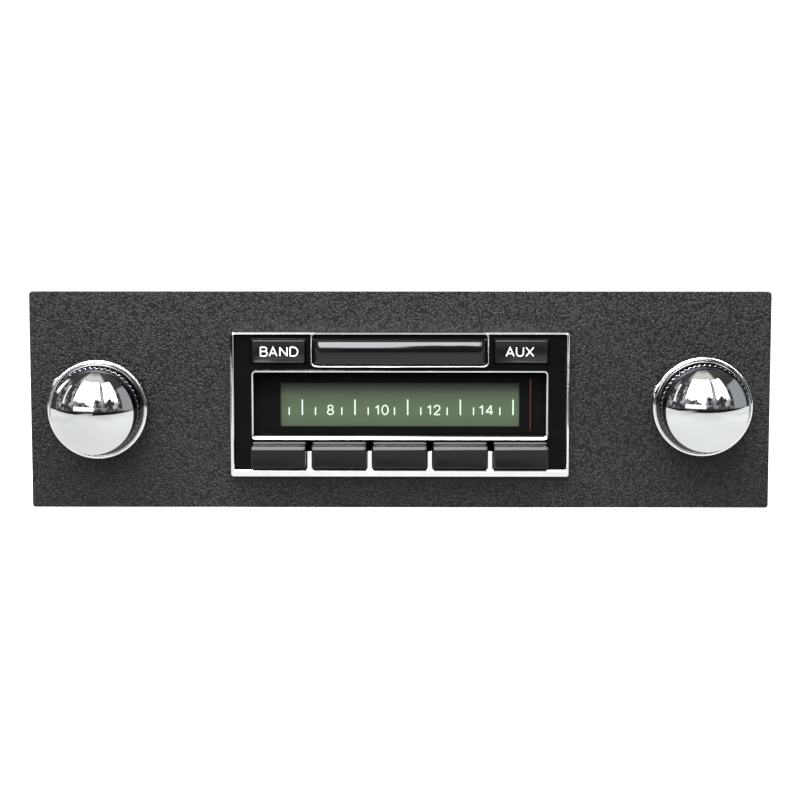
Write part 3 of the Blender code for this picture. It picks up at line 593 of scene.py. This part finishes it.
def rim(name, outer, inner, radii, y_back, y_front, crown, material, profile=CLIMB, **options):
    """A frame between two rounded rectangles (x0, x1, z0, z1).

    Its profile gives (share of the way in, share of the crown): CLIMB rises to a ridge near the
    inner edge; SCOOP has its ridge at the outer edge and a hollow slope inside it.
    """
    out, into = rounded_rect(*outer, radii[0]), rounded_rect(*inner, radii[1])
    sections = [(y_back, out)]
    sections += [(y_front + crown * (1 - rise), blend_outlines(out, into, t)) for t, rise in profile]
    sections.append((y_back, into))
    return loft(name, sections, material, closed=True, smooth=50, **options)


def make_bezel():
    """The bright frame of the nose, and the blades between the preset keys."""
    low, high = node_box("chrome_bezel")
    outer = (low[0], high[0], low[2], high[2])
    left, right, sill, head = 1.15, 0.85, 2.35, 0.8         # how wide each side is
    inner = (low[0] + left, high[0] - right, low[2] + sill, high[2] - head)
    rim("bezel_frame", outer, inner, (0.8, 0.35), high[1], low[1], 0.55, "chrome_plate",
        replaces=["chrome_bezel"])
    centres = [node_centre(key)[0] for key in KEYS]
    for number, (a, b) in enumerate(zip(centres, centres[1:]), 1):
        x, half, foot, top, flare = (a + b) / 2, 0.66, low[2] + 1.9, 18.6, 0.9
        side = arc(x + half + flare, foot + flare + 0.3, flare, 270, 180, 5)
        outline = side + [(x + half, top), (x - half, top)]
        outline += [(2 * x - u, v) for u, v in reversed(side)]
        blade = prism(f"bezel_blade_{number}", outline, [], low[1] + 0.05, high[1],
                      "chrome_plate", smooth=50)
        for vertex in blade.data.vertices:      # its face leans back a little towards the foot
            if vertex.co.y < (low[1] + 1.0) * MM:
                vertex.co.y += 0.30 * MM * (top - vertex.co.z / MM) / (top - foot)
        soften(blade, 0.14)


def make_line_frames():
    """The bright lines round the window and the badge bar."""
    low, high = node_box("window_frame")
    line = LINE_WIDTH
    rim("window_line", (low[0], high[0], low[2], high[2]),
        (low[0] + line, high[0] - line, low[2] + WINDOW_SILL, high[2] - line), (1.3, 0.7),
        high[1], low[1], 0.75, "chrome_plate", profile=SCOOP, replaces=["window_frame"])
    low, high = node_box("badge_frame")
    top = high[2] + 1.1         # its top line runs into the bezel's rim
    rim("badge_line", (low[0], high[0], low[2], top),
        (low[0] + line, high[0] - line, low[2] + line, top - line), (1.7, 1.1), high[1], low[1],
        0.5, "chrome_plate", replaces=["badge_frame"])


def make_badge_bar():
    """A convex gloss bar: its outline in side view is given by the slope of its surface."""
    low, high = node_box("trim_bar")
    slopes = [(0.0, -50), (0.10, -26), (0.40, -13), (0.44, -5), (0.62, 3), (0.66, 9), (0.69, 19),
              (0.86, 36), (0.90, 52), (1.0, 78)]
    steps, height = 40, high[2] - low[2]

    def slope(t):
        for (t0, a0), (t1, a1) in zip(slopes, slopes[1:]):
            if t <= t1:
                return a0 + (a1 - a0) * (t - t0) / (t1 - t0)
        return slopes[-1][1]

    line, depth = [], 0.0
    for k in range(steps + 1):
        line.append((depth, low[2] + height * k / steps))
        depth += math.tan(math.radians(slope((k + 0.5) / steps))) * height / steps
    nearest = min(y for y, _ in line)
    deepest = max(y for y, _ in line) - nearest
    reach = high[1] - 0.3 - low[1]

    def section(share):
        """The side outline, flattened towards the back by a share from 0 to 1."""
        curve = [(high[1] - 0.3 - (reach - (y - nearest) * reach / deepest) * share, z)
                 for y, z in line]
        return [(high[1], low[2])] + curve + [(high[1], high[2])]

    run, ends = 2.1, []
    for k in range(7):
        t = k / 6
        ends.append((run * t, 0.06 + 0.94 * math.sin(math.pi / 2 * t) ** 0.9))
    sections = [(low[0] + run_x, section(share)) for run_x, share in ends]
    sections += [(high[0] - run_x, section(share)) for run_x, share in reversed(ends)]
    loft("badge_bar", sections, "badge_black", axis="X", smooth=60, replaces=["trim_bar"])


def key_cap(name, node, top_edge, soft, ridge):
    """A push key with soft front edges and a stem behind.

    `top_edge` shapes its upper front edge as (depth behind the face, drop below the top).
    """
    low, high = node_box(node)
    x0, x1, z0, z1, y = low[0], high[0], low[2], high[2], low[1]

    def ring(side, bottom, top, radius):
        return rounded_rect(x0 + side, x1 - side, z0 + bottom, z1 - top, radius, 5)

    sections = [(y + 0.02, ring(soft * 1.4, soft * 1.3, top_edge[0][1] * 1.15, 0.5))]
    for depth, drop in top_edge:
        share = min(1.0, depth / soft)
        inset = soft * (1 - math.sqrt(share * (2 - share)))
        sections.append((y + depth, ring(inset, inset, drop + (ridge if drop < 0.02 else 0), 0.65)))
    back = y + (8.0 if ridge else 1.8)
    if ridge:
        sections += [(back - 1.3, ring(0, 0, ridge, 0.65)), (back - 1.13, ring(0, 0, -0.20, 0.65)),
                     (back - 0.9, ring(0, 0, -0.25, 0.65)), (back - 0.4, ring(0, 0, 0.0, 0.65))]
    sections.append((back, ring(0, 0, ridge, 0.65)))
    middle = (z0 + z1) / 2
    stem = rounded_rect(x0 + 2.4, x1 - 2.4, middle - 2.2, middle + 2.2, 0.4, 5)
    sections += [(back, stem), (high[1], stem)]
    loft(name, sections, "matte_key_plastic", smooth=40, replaces=[node], body=BODY_OF[node])


PRESET_EDGE = [(0.0, 1.42), (0.03, 1.30), (0.10, 1.12), (0.24, 0.80), (0.40, 0.46), (0.50, 0.30),
               (0.60, 0.20), (0.78, 0.12), (1.1, 0.0)]
MODE_EDGE = [(0.0, 0.42), (0.03, 0.32), (0.10, 0.18), (0.18, 0.08), (0.3, 0.0)]


def make_keys():
    for number, node in enumerate(KEYS, 1):
        key_cap(f"preset_key_{number}", node, PRESET_EDGE, 0.38, 0.14)
    for node, text, inset, gaps in (("band_button", "BAND", 2.63, (0.34, 0.62, 0.70, 0)),
                                    ("aux_button", "AUX", 3.45, (0.48, 0.50, 0))):
        key_cap(node.replace("button", "key"), node, MODE_EDGE, 0.22, 0.0)
        low = node_box(node)[0]
        written(node.replace("button", "label"), text, low[0] + inset, low[2] + 2.05,
                LABEL_HEIGHT, gaps, LABEL_STROKE, low[1], "label_ink", body=BODY_OF[node])


def make_dial():
    """Tick marks and numbers on the dial plate, and the needle in front of the mask."""
    y = node_box("dial_plate")[0][1]
    ticks, first, pitch, foot = 18, -35.33, 4.2, 29.55
    first_number, number_pitch = -22.15, 16.6
    for i in range(ticks):
        x = first + pitch * i
        if i % 4 == 3:                          # every fourth tick is a number instead
            text = str(8 + (i - 3) // 2)
            middle = first_number + number_pitch * (i // 4)
            half = 1.15 if len(text) == 1 else 2.44
            written(f"dial_number_{text}", text, middle - half, foot - 0.05, NUMBER_HEIGHT, 0.78,
                    NUMBER_STROKE, y, "dial_ink")
            continue
        tall = i % 4 == 1
        height, half = (4.95, 0.23) if tall else (2.45, 0.2)
        prism(f"dial_tick_{i}", rectangle(x - half, x + half, foot, foot + height), [],
              y - PRINT_RISE, y + PRINT_SINK, "dial_ink")
    low, high = node_box("pointer_needle")
    x, near, far = (low[0] + high[0]) / 2, low[1], low[1] + 0.3
    foot, top, elbow = 24.7, 41.3, low[2] + 19.9        # above its top it is black, and bends back
    red = prism("needle_blade", rounded_rect(x - 0.2, x + 0.2, foot, top, 0.18, 4), [], near, far,
                "needle_red", body="pointer", replaces=["pointer_needle"])
    soften(red, 0.06, 2)
    arm = [(near, top), (far, top), (far, elbow), (high[1], elbow), (high[1], high[2]),
           (near, high[2])]
    soften(prism("needle_arm", arm, [], x - 0.24, x + 0.24, "matte_mask_card", axis="X",
                 body="pointer"), 0.06, 2)


# -------------------- knobs and rings
def make_knob(name, node, body):
    """A mirror-bright domed knob with a knurled band behind a smooth neck."""
    cx, _, cz = node_centre(node)
    edge_r, edge_h, apex_h = 12.9, 17.9, 23.4
    rise = apex_h - edge_h
    sphere = (edge_r ** 2 + rise ** 2) / (2 * rise)
    start = math.degrees(math.asin(edge_r / sphere))
    profile = [(0, 20.0), (3.3, 20.0), (3.3, 9.0), (3.7, 8.6), (12.7, 8.6), (13.1, 8.9),
               (13.1, 10.4), (13.45, 10.6), (13.9, 10.9), (13.9, 13.0), (13.76, 13.16),
               (12.6, 13.16), (12.6, 17.3), (12.75, 17.55), (12.88, 17.7)]
    steps = 24
    for k in range(steps + 1):
        angle = math.radians(start * (1 - k / steps))
        profile.append((sphere * math.sin(angle) if k < steps else 0,
                        apex_h - sphere * (1 - math.cos(angle))))
    teeth, cut = 52, {7: 0.15, 8: 0.34, 9: 0.34, 10: 0.2}       # depth, by step of the profile

    def shape(step, radius, angle):
        wave = 0.5 - 0.5 * math.cos(angle * teeth)
        return radius - cut[step] * wave ** 0.8 if step in cut else radius

    knob = turned(name, (cx, cz), standing(profile), "knob_polish", teeth * 6, shape=shape,
                  smooth=42, body=body, replaces=[node])
    # painted shade: the neck, shoulder and knurl roots behind the dome get a dark metal; the knurl tips
    # stay bright
    paint_shade_faces(knob, "painted_shade_metal", lambda c: c[1] > front(17.95)
                and math.hypot(c[0] - cx, c[2] - cz) < 13.62)


def make_ring(name, node, body, tab_angle):
    """The rear ring: a rolled bead around a shallow dish, with a finger tab on its rim."""
    cx, cz = SHAFTS[body]
    profile = [(4.6, 5.2), (4.6, 6.6), (4.8, 6.8), (9.0, 6.8), (13.9, 6.72), (14.3, 6.68),
               (14.5, 6.5), (14.7, 6.2)]
    first = len(profile)
    profile += [(r, -h) for r, h in arc(15.2, -6.0, 0.57, 165, -100, 14)]
    last = len(profile)
    profile += [(14.6, 5.15), (14.0, 5.1), (13.6, 5.6), (13.4, 6.6)]

    def shape(step, radius, angle):
        gap = abs((angle - math.radians(tab_angle) + math.pi) % (2 * math.pi) - math.pi)
        share = max(0.0, 1 - gap / math.radians(10.5))
        lift = 0.66 * min(1.0, share * 1.5) ** 1.5
        return radius + lift * max(0.0, (radius - 15.1) / 0.67) if first < step < last else radius

    ring = turned(name, (cx, cz), standing(profile), "chrome_plate", 240, closed=True, shape=shape,
                  smooth=60, body=body, replaces=[node])
    # painted shade: the dish inside the bead gets a dark metal
    paint_shade_faces(ring, "painted_shade_metal", lambda c: math.hypot(c[0] - cx, c[2] - cz) < 14.65)


# -------------------- the case, rear and fittings
def screw_head(cu, cv, radius):
    """A pan head with a cross recess: vertices as (u, v, height) and faces."""
    count = 20
    outline = [(1.0, 0.0), (1.0, 0.5), (0.94, 0.85), (0.78, 1.1), (0.62, 1.2)]
    verts = [(u, v, h) for share, h in outline for u, v in circle(cu, cv, radius * share, count)]
    faces = [tuple(range(count))]
    for k in range(len(outline) - 1):
        faces += skin(k * count, (k + 1) * count, count)
    reach, half, top = radius * 0.52, radius * 0.13, len(verts) - count
    cross = [(half, half), (reach, half), (reach, -half), (half, -half), (half, -reach),
             (-half, -reach), (-half, -half), (-reach, -half), (-reach, half), (-half, half),
             (-half, reach), (half, reach)]
    loops = [[Vector((u, v, 0)) for u, v, _ in verts[top:]],
             [Vector((cu + u, cv + v, 0)) for u, v in cross]]
    faces += [tuple(top + i for i in cap) for cap in tessellate_polygon(loops)]
    first = len(verts)
    verts += [(cu + u, cv + v, h) for h in (1.2, 0.45) for u, v in cross]
    faces += skin(first, first + 12, 12)
    faces.append(tuple(first + 12 + i for i in range(12)))
    return verts, faces


def screws(name, axis, base, sign, radius, places):
    """Pan-head screws on one face of the case, standing out along an axis."""
    verts, faces = [], []
    for u, v in places:
        head, joined = screw_head(u, v, radius)
        join(verts, faces, [PLACE[axis](a, b, base + sign * h) for a, b, h in head], joined)
    piece(name, verts, faces, "polished_steel", smooth=40)


def pressed_strip(name, box, radius, base, sign, rise):
    """A low pressed shape on a cover, with rolled edges, from its outline's (u0, u1, v0, v1)."""
    u0, u1, v0, v1 = box
    sections = [(base - sign * 0.2, rounded_rect(u0, u1, v0, v1, radius))]
    for k in range(6):
        angle = math.pi / 2 * k / 5
        d = 1.8 * (1 - math.cos(angle))
        sections.append((base + sign * rise * math.sin(angle),
                         rounded_rect(u0 + d, u1 - d, v0 + d, v1 - d, radius - d)))
    loft(name, sections, "zinc_plated_steel", axis="Z", smooth=50)


def make_case_details():
    """Screws, side louvres and pressed stiffeners on the case."""
    top, bottom = node_box("top_cover")[1][2], node_box("bottom_cover")[0][2]
    rear, side = node_box("chassis_rear")[1][1], node_box("chassis_right")[1][0]
    corners = [(u, v) for u in (-80.5, 80.5) for v in (25.0, 133.0)]
    screws("top_cover_screws", "Z", top, 1, 2.6, corners + [(0, 25.0), (0, 133.0)])
    screws("bottom_cover_screws", "Z", bottom, -1, 2.6, corners)
    screws("rear_plate_screws", "Y", rear, 1, 2.4,
           [(-81.5, 55.6), (81.5, 54.6), (-81.5, 12.2), (81.5, 12.2), (12.5, 55.0)])
    louvres, first_louvre, louvre_pitch = 7, 62.0, 9.0
    for name, sign in (("left", -1), ("right", 1)):
        screws(f"{name}_side_screws", "X", sign * side, sign, 2.4,
               [(25.0, 53.0), (25.0, 14.0), (132.5, 53.0), (132.5, 14.0)])
        flank = node_box(f"{name}_shaft_bracket")
        at = min(abs(flank[0][0]), abs(flank[1][0])) + 1.2
        screws(f"{name}_bracket_screws", "X", sign * at, sign, 2.6, [(33.0, 27.0), (33.0, 40.0)])
        for number in range(louvres):
            v = first_louvre + louvre_pitch * number
            hood = [(sign * (side - 0.2), v - 2.2), (sign * (side + 1.5), v + 1.6),
                    (sign * (side - 0.2), v + 1.6)]
            soften(prism(f"{name}_louvre_{number}", hood, [], 19.0, 45.0, "zinc_plated_steel",
                         axis="Z"), 0.35, 3)
            # A black strip in each louvre's opening stands for the shade inside it: painted shade.
            gap_shade_strip = rectangle(sign * (side + 0.02), sign * (side + 1.0), v + 1.5, v + 1.68)
            prism(f"{name}_louvre_mouth_{number}", gap_shade_strip, [], 20.0, 44.0, "matte_mask_card",
                  axis="Z")
    for number, v in enumerate((44.0, 66.0, 126.0), 1):
        pressed_strip(f"cover_rib_{number}", (-66.0, 66.0, v - 2.4, v + 2.4), 2.3, top, 1, 0.9)
    for number, u in enumerate((-40.0, 40.0), 1):
        pressed_strip(f"base_pad_{number}", (u - 22.0, u + 22.0, 60.0, 100.0), 4.0, bottom, -1, 0.8)


def make_socket_details():
    """Pins and keys in the wiring socket, and the turned fittings of the other two sockets."""
    low, high = node_box("wiring_socket")
    columns, pin_pitch, half_row = 8, 2.75, 3.2
    verts, faces = [], []
    for row in (-half_row, half_row):
        for column in range(columns):
            u = (low[0] + high[0]) / 2 + pin_pitch * (column - (columns - 1) / 2)
            v = (low[2] + high[2]) / 2 + row
            blade = rectangle(u - 0.75, u + 0.75, v - 0.3, v + 0.3)
            pin = [(a, y, b) for y in (130.5, 140.6) for a, b in blade]
            pin += [(u + (a - u) * 0.5, 141.5, v + (b - v) * 0.4) for a, b in blade]
            join(verts, faces, pin, skin(0, 4, 4) + skin(4, 8, 4) + [(0, 1, 2, 3), (8, 9, 10, 11)])
    piece("wiring_pins", verts, faces, "nickel_plated_brass")
    keys = [(low[0] + 6.0, low[2] + 1.4), (high[0] - 8.5, low[2] + 1.4)]
    for number, (u, v) in enumerate(keys, 1):
        soften(prism(f"wiring_key_{number}", rectangle(u, u + 2.5, v, v + 1.3), [], 132.0, 145.0,
                     "black_plastic"), 0.15, 2)
    x, _, z = node_centre("antenna_socket")
    rear = node_box("chassis_rear")[1][1]
    turned("aerial_flange", (x, z), [(7.05, rear + 0.05), (10.0, rear + 0.05), (10.0, rear + 0.6),
                                     (9.7, rear + 0.9), (7.4, rear + 0.9), (7.05, rear + 0.7)],
           "nickel_plated_brass", 64, closed=True, smooth=40)

    def knurl(step, radius, angle):
        return radius - 0.22 * (0.5 - 0.5 * math.cos(40 * angle)) if step in (1, 2, 3, 4) else radius

    turned("aerial_collar", (x, z), [(7.05, rear + 4.4), (7.5, rear + 4.4), (7.75, rear + 4.7),
                                     (7.75, rear + 7.7), (7.5, rear + 8.0), (7.05, rear + 8.0)],
           "nickel_plated_brass", 240, closed=True, shape=knurl, smooth=50)
    turned("aerial_contact", (x, z), [(0, 131.6), (1.3, 131.6), (1.3, 141.0), (1.0, 141.8), (0, 142.2)],
           "polished_steel", 32, smooth=40)
    x, _, z = node_centre("aux_socket")
    turned("aux_ring_nut", (x, z), [(4.05, rear + 0.1), (5.9, rear + 0.1), (6.1, rear + 0.4),
                                    (6.1, rear + 1.6), (5.8, rear + 1.9), (4.05, rear + 1.9)],
           "nickel_plated_brass", 64, closed=True, smooth=40)


def make_pot_terminals():
    """Three solder tags with an eye under each control body."""
    for node in ("tone_pot", "volume_pot", "fader_pot", "tuning_encoder"):
        cx, y, _ = node_centre(node)
        cz = node_box(node)[0][2]
        for number in (-1, 0, 1):
            u = cx + 3.4 * number
            outline = rounded_rect(u - 0.9, u + 0.9, cz - 5.0, cz - 0.05, 0.5, 4)
            soften(prism(f"{node}_tag_{number + 2}", outline, [circle(u, cz - 3.6, 0.45, 16)],
                         y - 0.25, y + 0.25, "nickel_plated_brass"), 0.06, 1)


def make_key_guide():
    """Black plates just behind the face, with a slot for each key's stem."""
    plates = [("key_guide", (-49.5, 49.5, 13.4, 23.6), KEYS)]
    for node in ("band_button", "aux_button"):
        low, high = node_box(node)
        plates.append((node.replace("button", "guide"),
                       (low[0] - 1.2, high[0] + 1.2, low[2] - 1.0, high[2] + 0.8), [node]))
    for name, edges, nodes in plates:
        slots = []
        for low, high in map(node_box, nodes):
            middle = (low[2] + high[2]) / 2
            slots.append(rounded_rect(low[0] + 2.0, high[0] - 2.0, middle - 2.6, middle + 2.6,
                                      0.5, 4))
        prism(name, rounded_rect(*edges, 0.6, 4), slots, GUIDE_NEAR, GUIDE_FAR,
              "matte_mask_card")


make_bezel()
make_key_guide()
make_line_frames()
make_badge_bar()
make_keys()
make_dial()
make_knob("volume_knob_dome", "volume_knob", "volume_control")
make_knob("tuning_knob_dome", "tuning_knob", "tuning_control")
make_ring("tone_ring_rim", "tone_ring", "tone_control", 147.0)
make_ring("fader_ring_rim", "fader_ring", "fader_control", 160.0)
soften(NODES["face_moulding"], 0.25)
soften(NODES["dash_panel"], 0.15, 2)
make_case_details()
make_socket_details()
make_pot_terminals()
for name in ("top_cover", "bottom_cover", "chassis_left", "chassis_right", "chassis_rear",
             "chassis_front", "left_shaft_bracket", "right_shaft_bracket", "aux_socket",
             "wiring_socket", "tone_pot", "volume_pot", "fader_pot", "tuning_encoder"):
    soften(NODES[name], 0.3, 2)
for name, width in (("heat_sink", 0.35), ("rear_strap", 0.5), ("rear_bolt", 0.4),
                    ("antenna_socket", 0.4)):
    soften(NODES[name], width, 2)


# -------------------- camera, lights and floor
CAMERA_AT = (5.4, -706.0, 116.5)        # millimetres
CAMERA_LENS = 100.372                   # millimetres, on a 36 mm sensor
CAMERA_TURN = (83.367, 0.0, 0.436)      # degrees
FLOOR_HALF = 6.0                        # metres


def make_camera():
    data = bpy.data.cameras.new("camera")
    data.lens, data.sensor_width = CAMERA_LENS, 36.0
    data.clip_start, data.clip_end = 0.01, 20.0
    camera = add_object("camera", data)
    camera.location = Vector(CAMERA_AT) * MM
    camera.rotation_euler = [math.radians(angle) for angle in CAMERA_TURN]
    bpy.context.scene.camera = camera


def area_light(name, place, target, size, power):
    """A soft rectangular light in metres and watts; polished surfaces don't mirror it."""
    data = bpy.data.lights.new(name, "AREA")
    data.shape, data.size, data.size_y = "RECTANGLE", size[0], size[1]
    data.energy = power
    light = add_object(name, data)
    light.location = place
    light.visible_glossy = False
    light.rotation_euler = (Vector(target) - Vector(place)).to_track_quat("-Z", "Y").to_euler()


def make_stage():
    """A pale floor; in reflections it is a white table, with the dim room beyond its edge."""
    m = Nodes("studio_floor")
    m.wire(m.ramp(m.noise(6.0, 3.0, 0.5), [(0.3, (0.30, 0.30, 0.30)), (0.7, (0.33, 0.33, 0.33))]),
           "Base Color")
    m.set(Roughness=0.9, Specular_IOR_Level=0.1, Emission_Color=(1, 1, 1, 1), Emission_Strength=0.86)
    across, along, _ = m.axes(m.coords())
    near = m.map(along, 0.02, 1.0, -0.325, -0.315)      # the table ends a third of a metre ahead
    sheet = m.math("MULTIPLY", m.map(across, 0.0, 1.0, -0.34, -0.33),   # a pale strip past its end
                   m.map(across, 1.0, 0.0, -0.115, -0.11))
    beyond = m.math("MULTIPLY", m.map(along, 0.0, 0.75, -0.75, -0.72), sheet)
    fade = m.math("MULTIPLY", m.math("MAXIMUM", near, beyond),
                  m.map(along, 0.80, 1.02, -0.32, -0.10))
    cloth = m.map(m.noise(6.5, 1.0, 0.4), 0.86, 1.08, 0.32, 0.68)
    table = m.add("ShaderNodeEmission", Color=(0.98, 1.0, 0.985, 1))
    m.link(m.math("MULTIPLY", fade, cloth), table.inputs["Strength"])
    dim = m.add("ShaderNodeBsdfDiffuse", Color=(0.35, 0.35, 0.35, 1))
    path = m.add("ShaderNodeLightPath").outputs
    unseen = m.either(path["Is Glossy Ray"], dim.outputs["BSDF"], table.outputs["Emission"])
    out = next(n for n in m.tree.nodes if n.type == "OUTPUT_MATERIAL").inputs["Surface"]
    m.link(m.either(path["Is Camera Ray"], unseen, m.shader.outputs["BSDF"]), out)
    m.material.cycles.emission_sampling = "NONE"
    mesh = bpy.data.meshes.new("floor")
    outline = rectangle(-FLOOR_HALF, FLOOR_HALF, -FLOOR_HALF, FLOOR_HALF)
    mesh.from_pydata([(x, y, 0) for x, y in outline], [], [(0, 1, 2, 3)])
    mesh.materials.append(m.material)
    add_object("floor", mesh)


class Sky(Tree):
    """The room around the stage, as a world shader of tall windows in dim walls."""

    def __init__(self, tree):
        super().__init__(tree)
        self.way = self.add("ShaderNodeTexCoord").outputs["Generated"]
        x, y, z = self.axes(self.way)
        self.azimuth = self.math("ARCTAN2", x, self.math("MULTIPLY", y, -1.0))
        self.height = self.math("ARCSINE", z)

    def edge(self, value, degrees, soft):
        """0 below an angle and 1 above it, with a soft edge."""
        return self.map(value, 0.0, 1.0, math.radians(degrees - soft), math.radians(degrees + soft),
                        "SMOOTHSTEP")

    def band(self, value, low, high, soft):
        return self.math("SUBTRACT", self.edge(value, low, soft), self.edge(value, high, soft))

    def trees(self, base, rise):
        """A ragged skyline, in radians of elevation above the horizon."""
        noise = self.add("ShaderNodeTexNoise", noise_dimensions="1D", Scale=2.6, Detail=3.0,
                         Roughness=0.62)
        self.link(self.azimuth, noise.inputs["W"])
        return self.math("MULTIPLY_ADD", noise.outputs["Fac"], math.radians(4.0 * rise),
                         math.radians(base - 2.0 * rise))

    def clutter(self, scale, strength):
        """Soft patches of light, for what stands in the room and outside it."""
        return self.map(self.noise(scale, 4.0, 0.5, self.way), 0.0, strength, 0.47, 0.70)

    def window(self, left, right, low, high, strength, soft):
        """A bright pane between two azimuths (0 is towards -Y) and elevations, in degrees."""
        pane = self.math("MULTIPLY", self.band(self.azimuth, left, right, soft),
                         self.band(self.height, low, high, soft))
        return self.math("MULTIPLY", pane, strength)


def make_world():
    """White behind the object; a dim room with tall windows for light and reflections."""
    world = bpy.data.worlds.new("studio")
    bpy.context.scene.world = world
    world.use_nodes = True
    world.node_tree.nodes.clear()
    sky = Sky(world.node_tree)
    skyline = sky.edge(sky.math("SUBTRACT", sky.height, sky.trees(21, 14)), 0, 2.0)
    panes = [sky.math("MULTIPLY", sky.window(-42, 13, 4, 60, 9.0, 2.5), skyline),
             sky.math("MULTIPLY", sky.window(24, 50, 6, 58, 7.0, 2.5), skyline),
             sky.math("MULTIPLY", sky.window(-85, 58, 3, 48, 1.0, 5.0), sky.clutter(6.5, 0.42)),
             *(sky.window(*edges) for edges in
               [(-54, 34, 56, 80, 0.40, 8.0), (-112, -90, 24, 46, 3.0, 4.0),
                (-70, -66, 12, 44, 0.7, 1.0), (60, 92, 0, 42, 0.20, 2.0),
                (-42, 0, 2, 10, 0.9, 1.0), (16, 22, 6, 56, 0.10, 2.0),
                (-178, -140, 14, 44, 2.5, 4.0), (130, 170, 14, 44, 2.5, 4.0)])]
    total = sky.math("ADD", sky.math("MULTIPLY", sky.edge(sky.height, 70, 30), 0.03), 0.030)
    for pane in panes:
        total = sky.math("ADD", total, pane)
    seen = sky.add("ShaderNodeBackground", Color=(1, 1, 1, 1), Strength=1.15)
    room = sky.add("ShaderNodeBackground")
    tone = sky.ramp(sky.edge(sky.height, 55, 25),       # cool near the horizon, warm overhead
                    [(0.0, (0.93, 0.965, 1.0)), (1.0, (1.0, 0.955, 0.91))])
    sky.link(tone, room.inputs["Color"])
    path = sky.add("ShaderNodeLightPath").outputs
    boost = sky.math("MULTIPLY_ADD", path["Is Glossy Ray"], 0.8, 1.0)
    sky.link(sky.math("MULTIPLY", total, boost), room.inputs["Strength"])
    mixed = sky.either(path["Is Camera Ray"], room.outputs["Background"],
                       seen.outputs["Background"])
    sky.link(mixed, sky.add("ShaderNodeOutputWorld").inputs["Surface"])


make_camera()
make_stage()
make_world()
area_light("softbox_top", (-0.06, -0.11, 0.24), (0.0, 0.0, 0.03), (0.50, 0.07), 3.6)
area_light("softbox_rear", (0.2, 0.9, 0.9), (0.0, 0.1, 0.03), (0.9, 0.5), 1.5)
bpy.context.scene.view_settings.view_transform = "Standard"
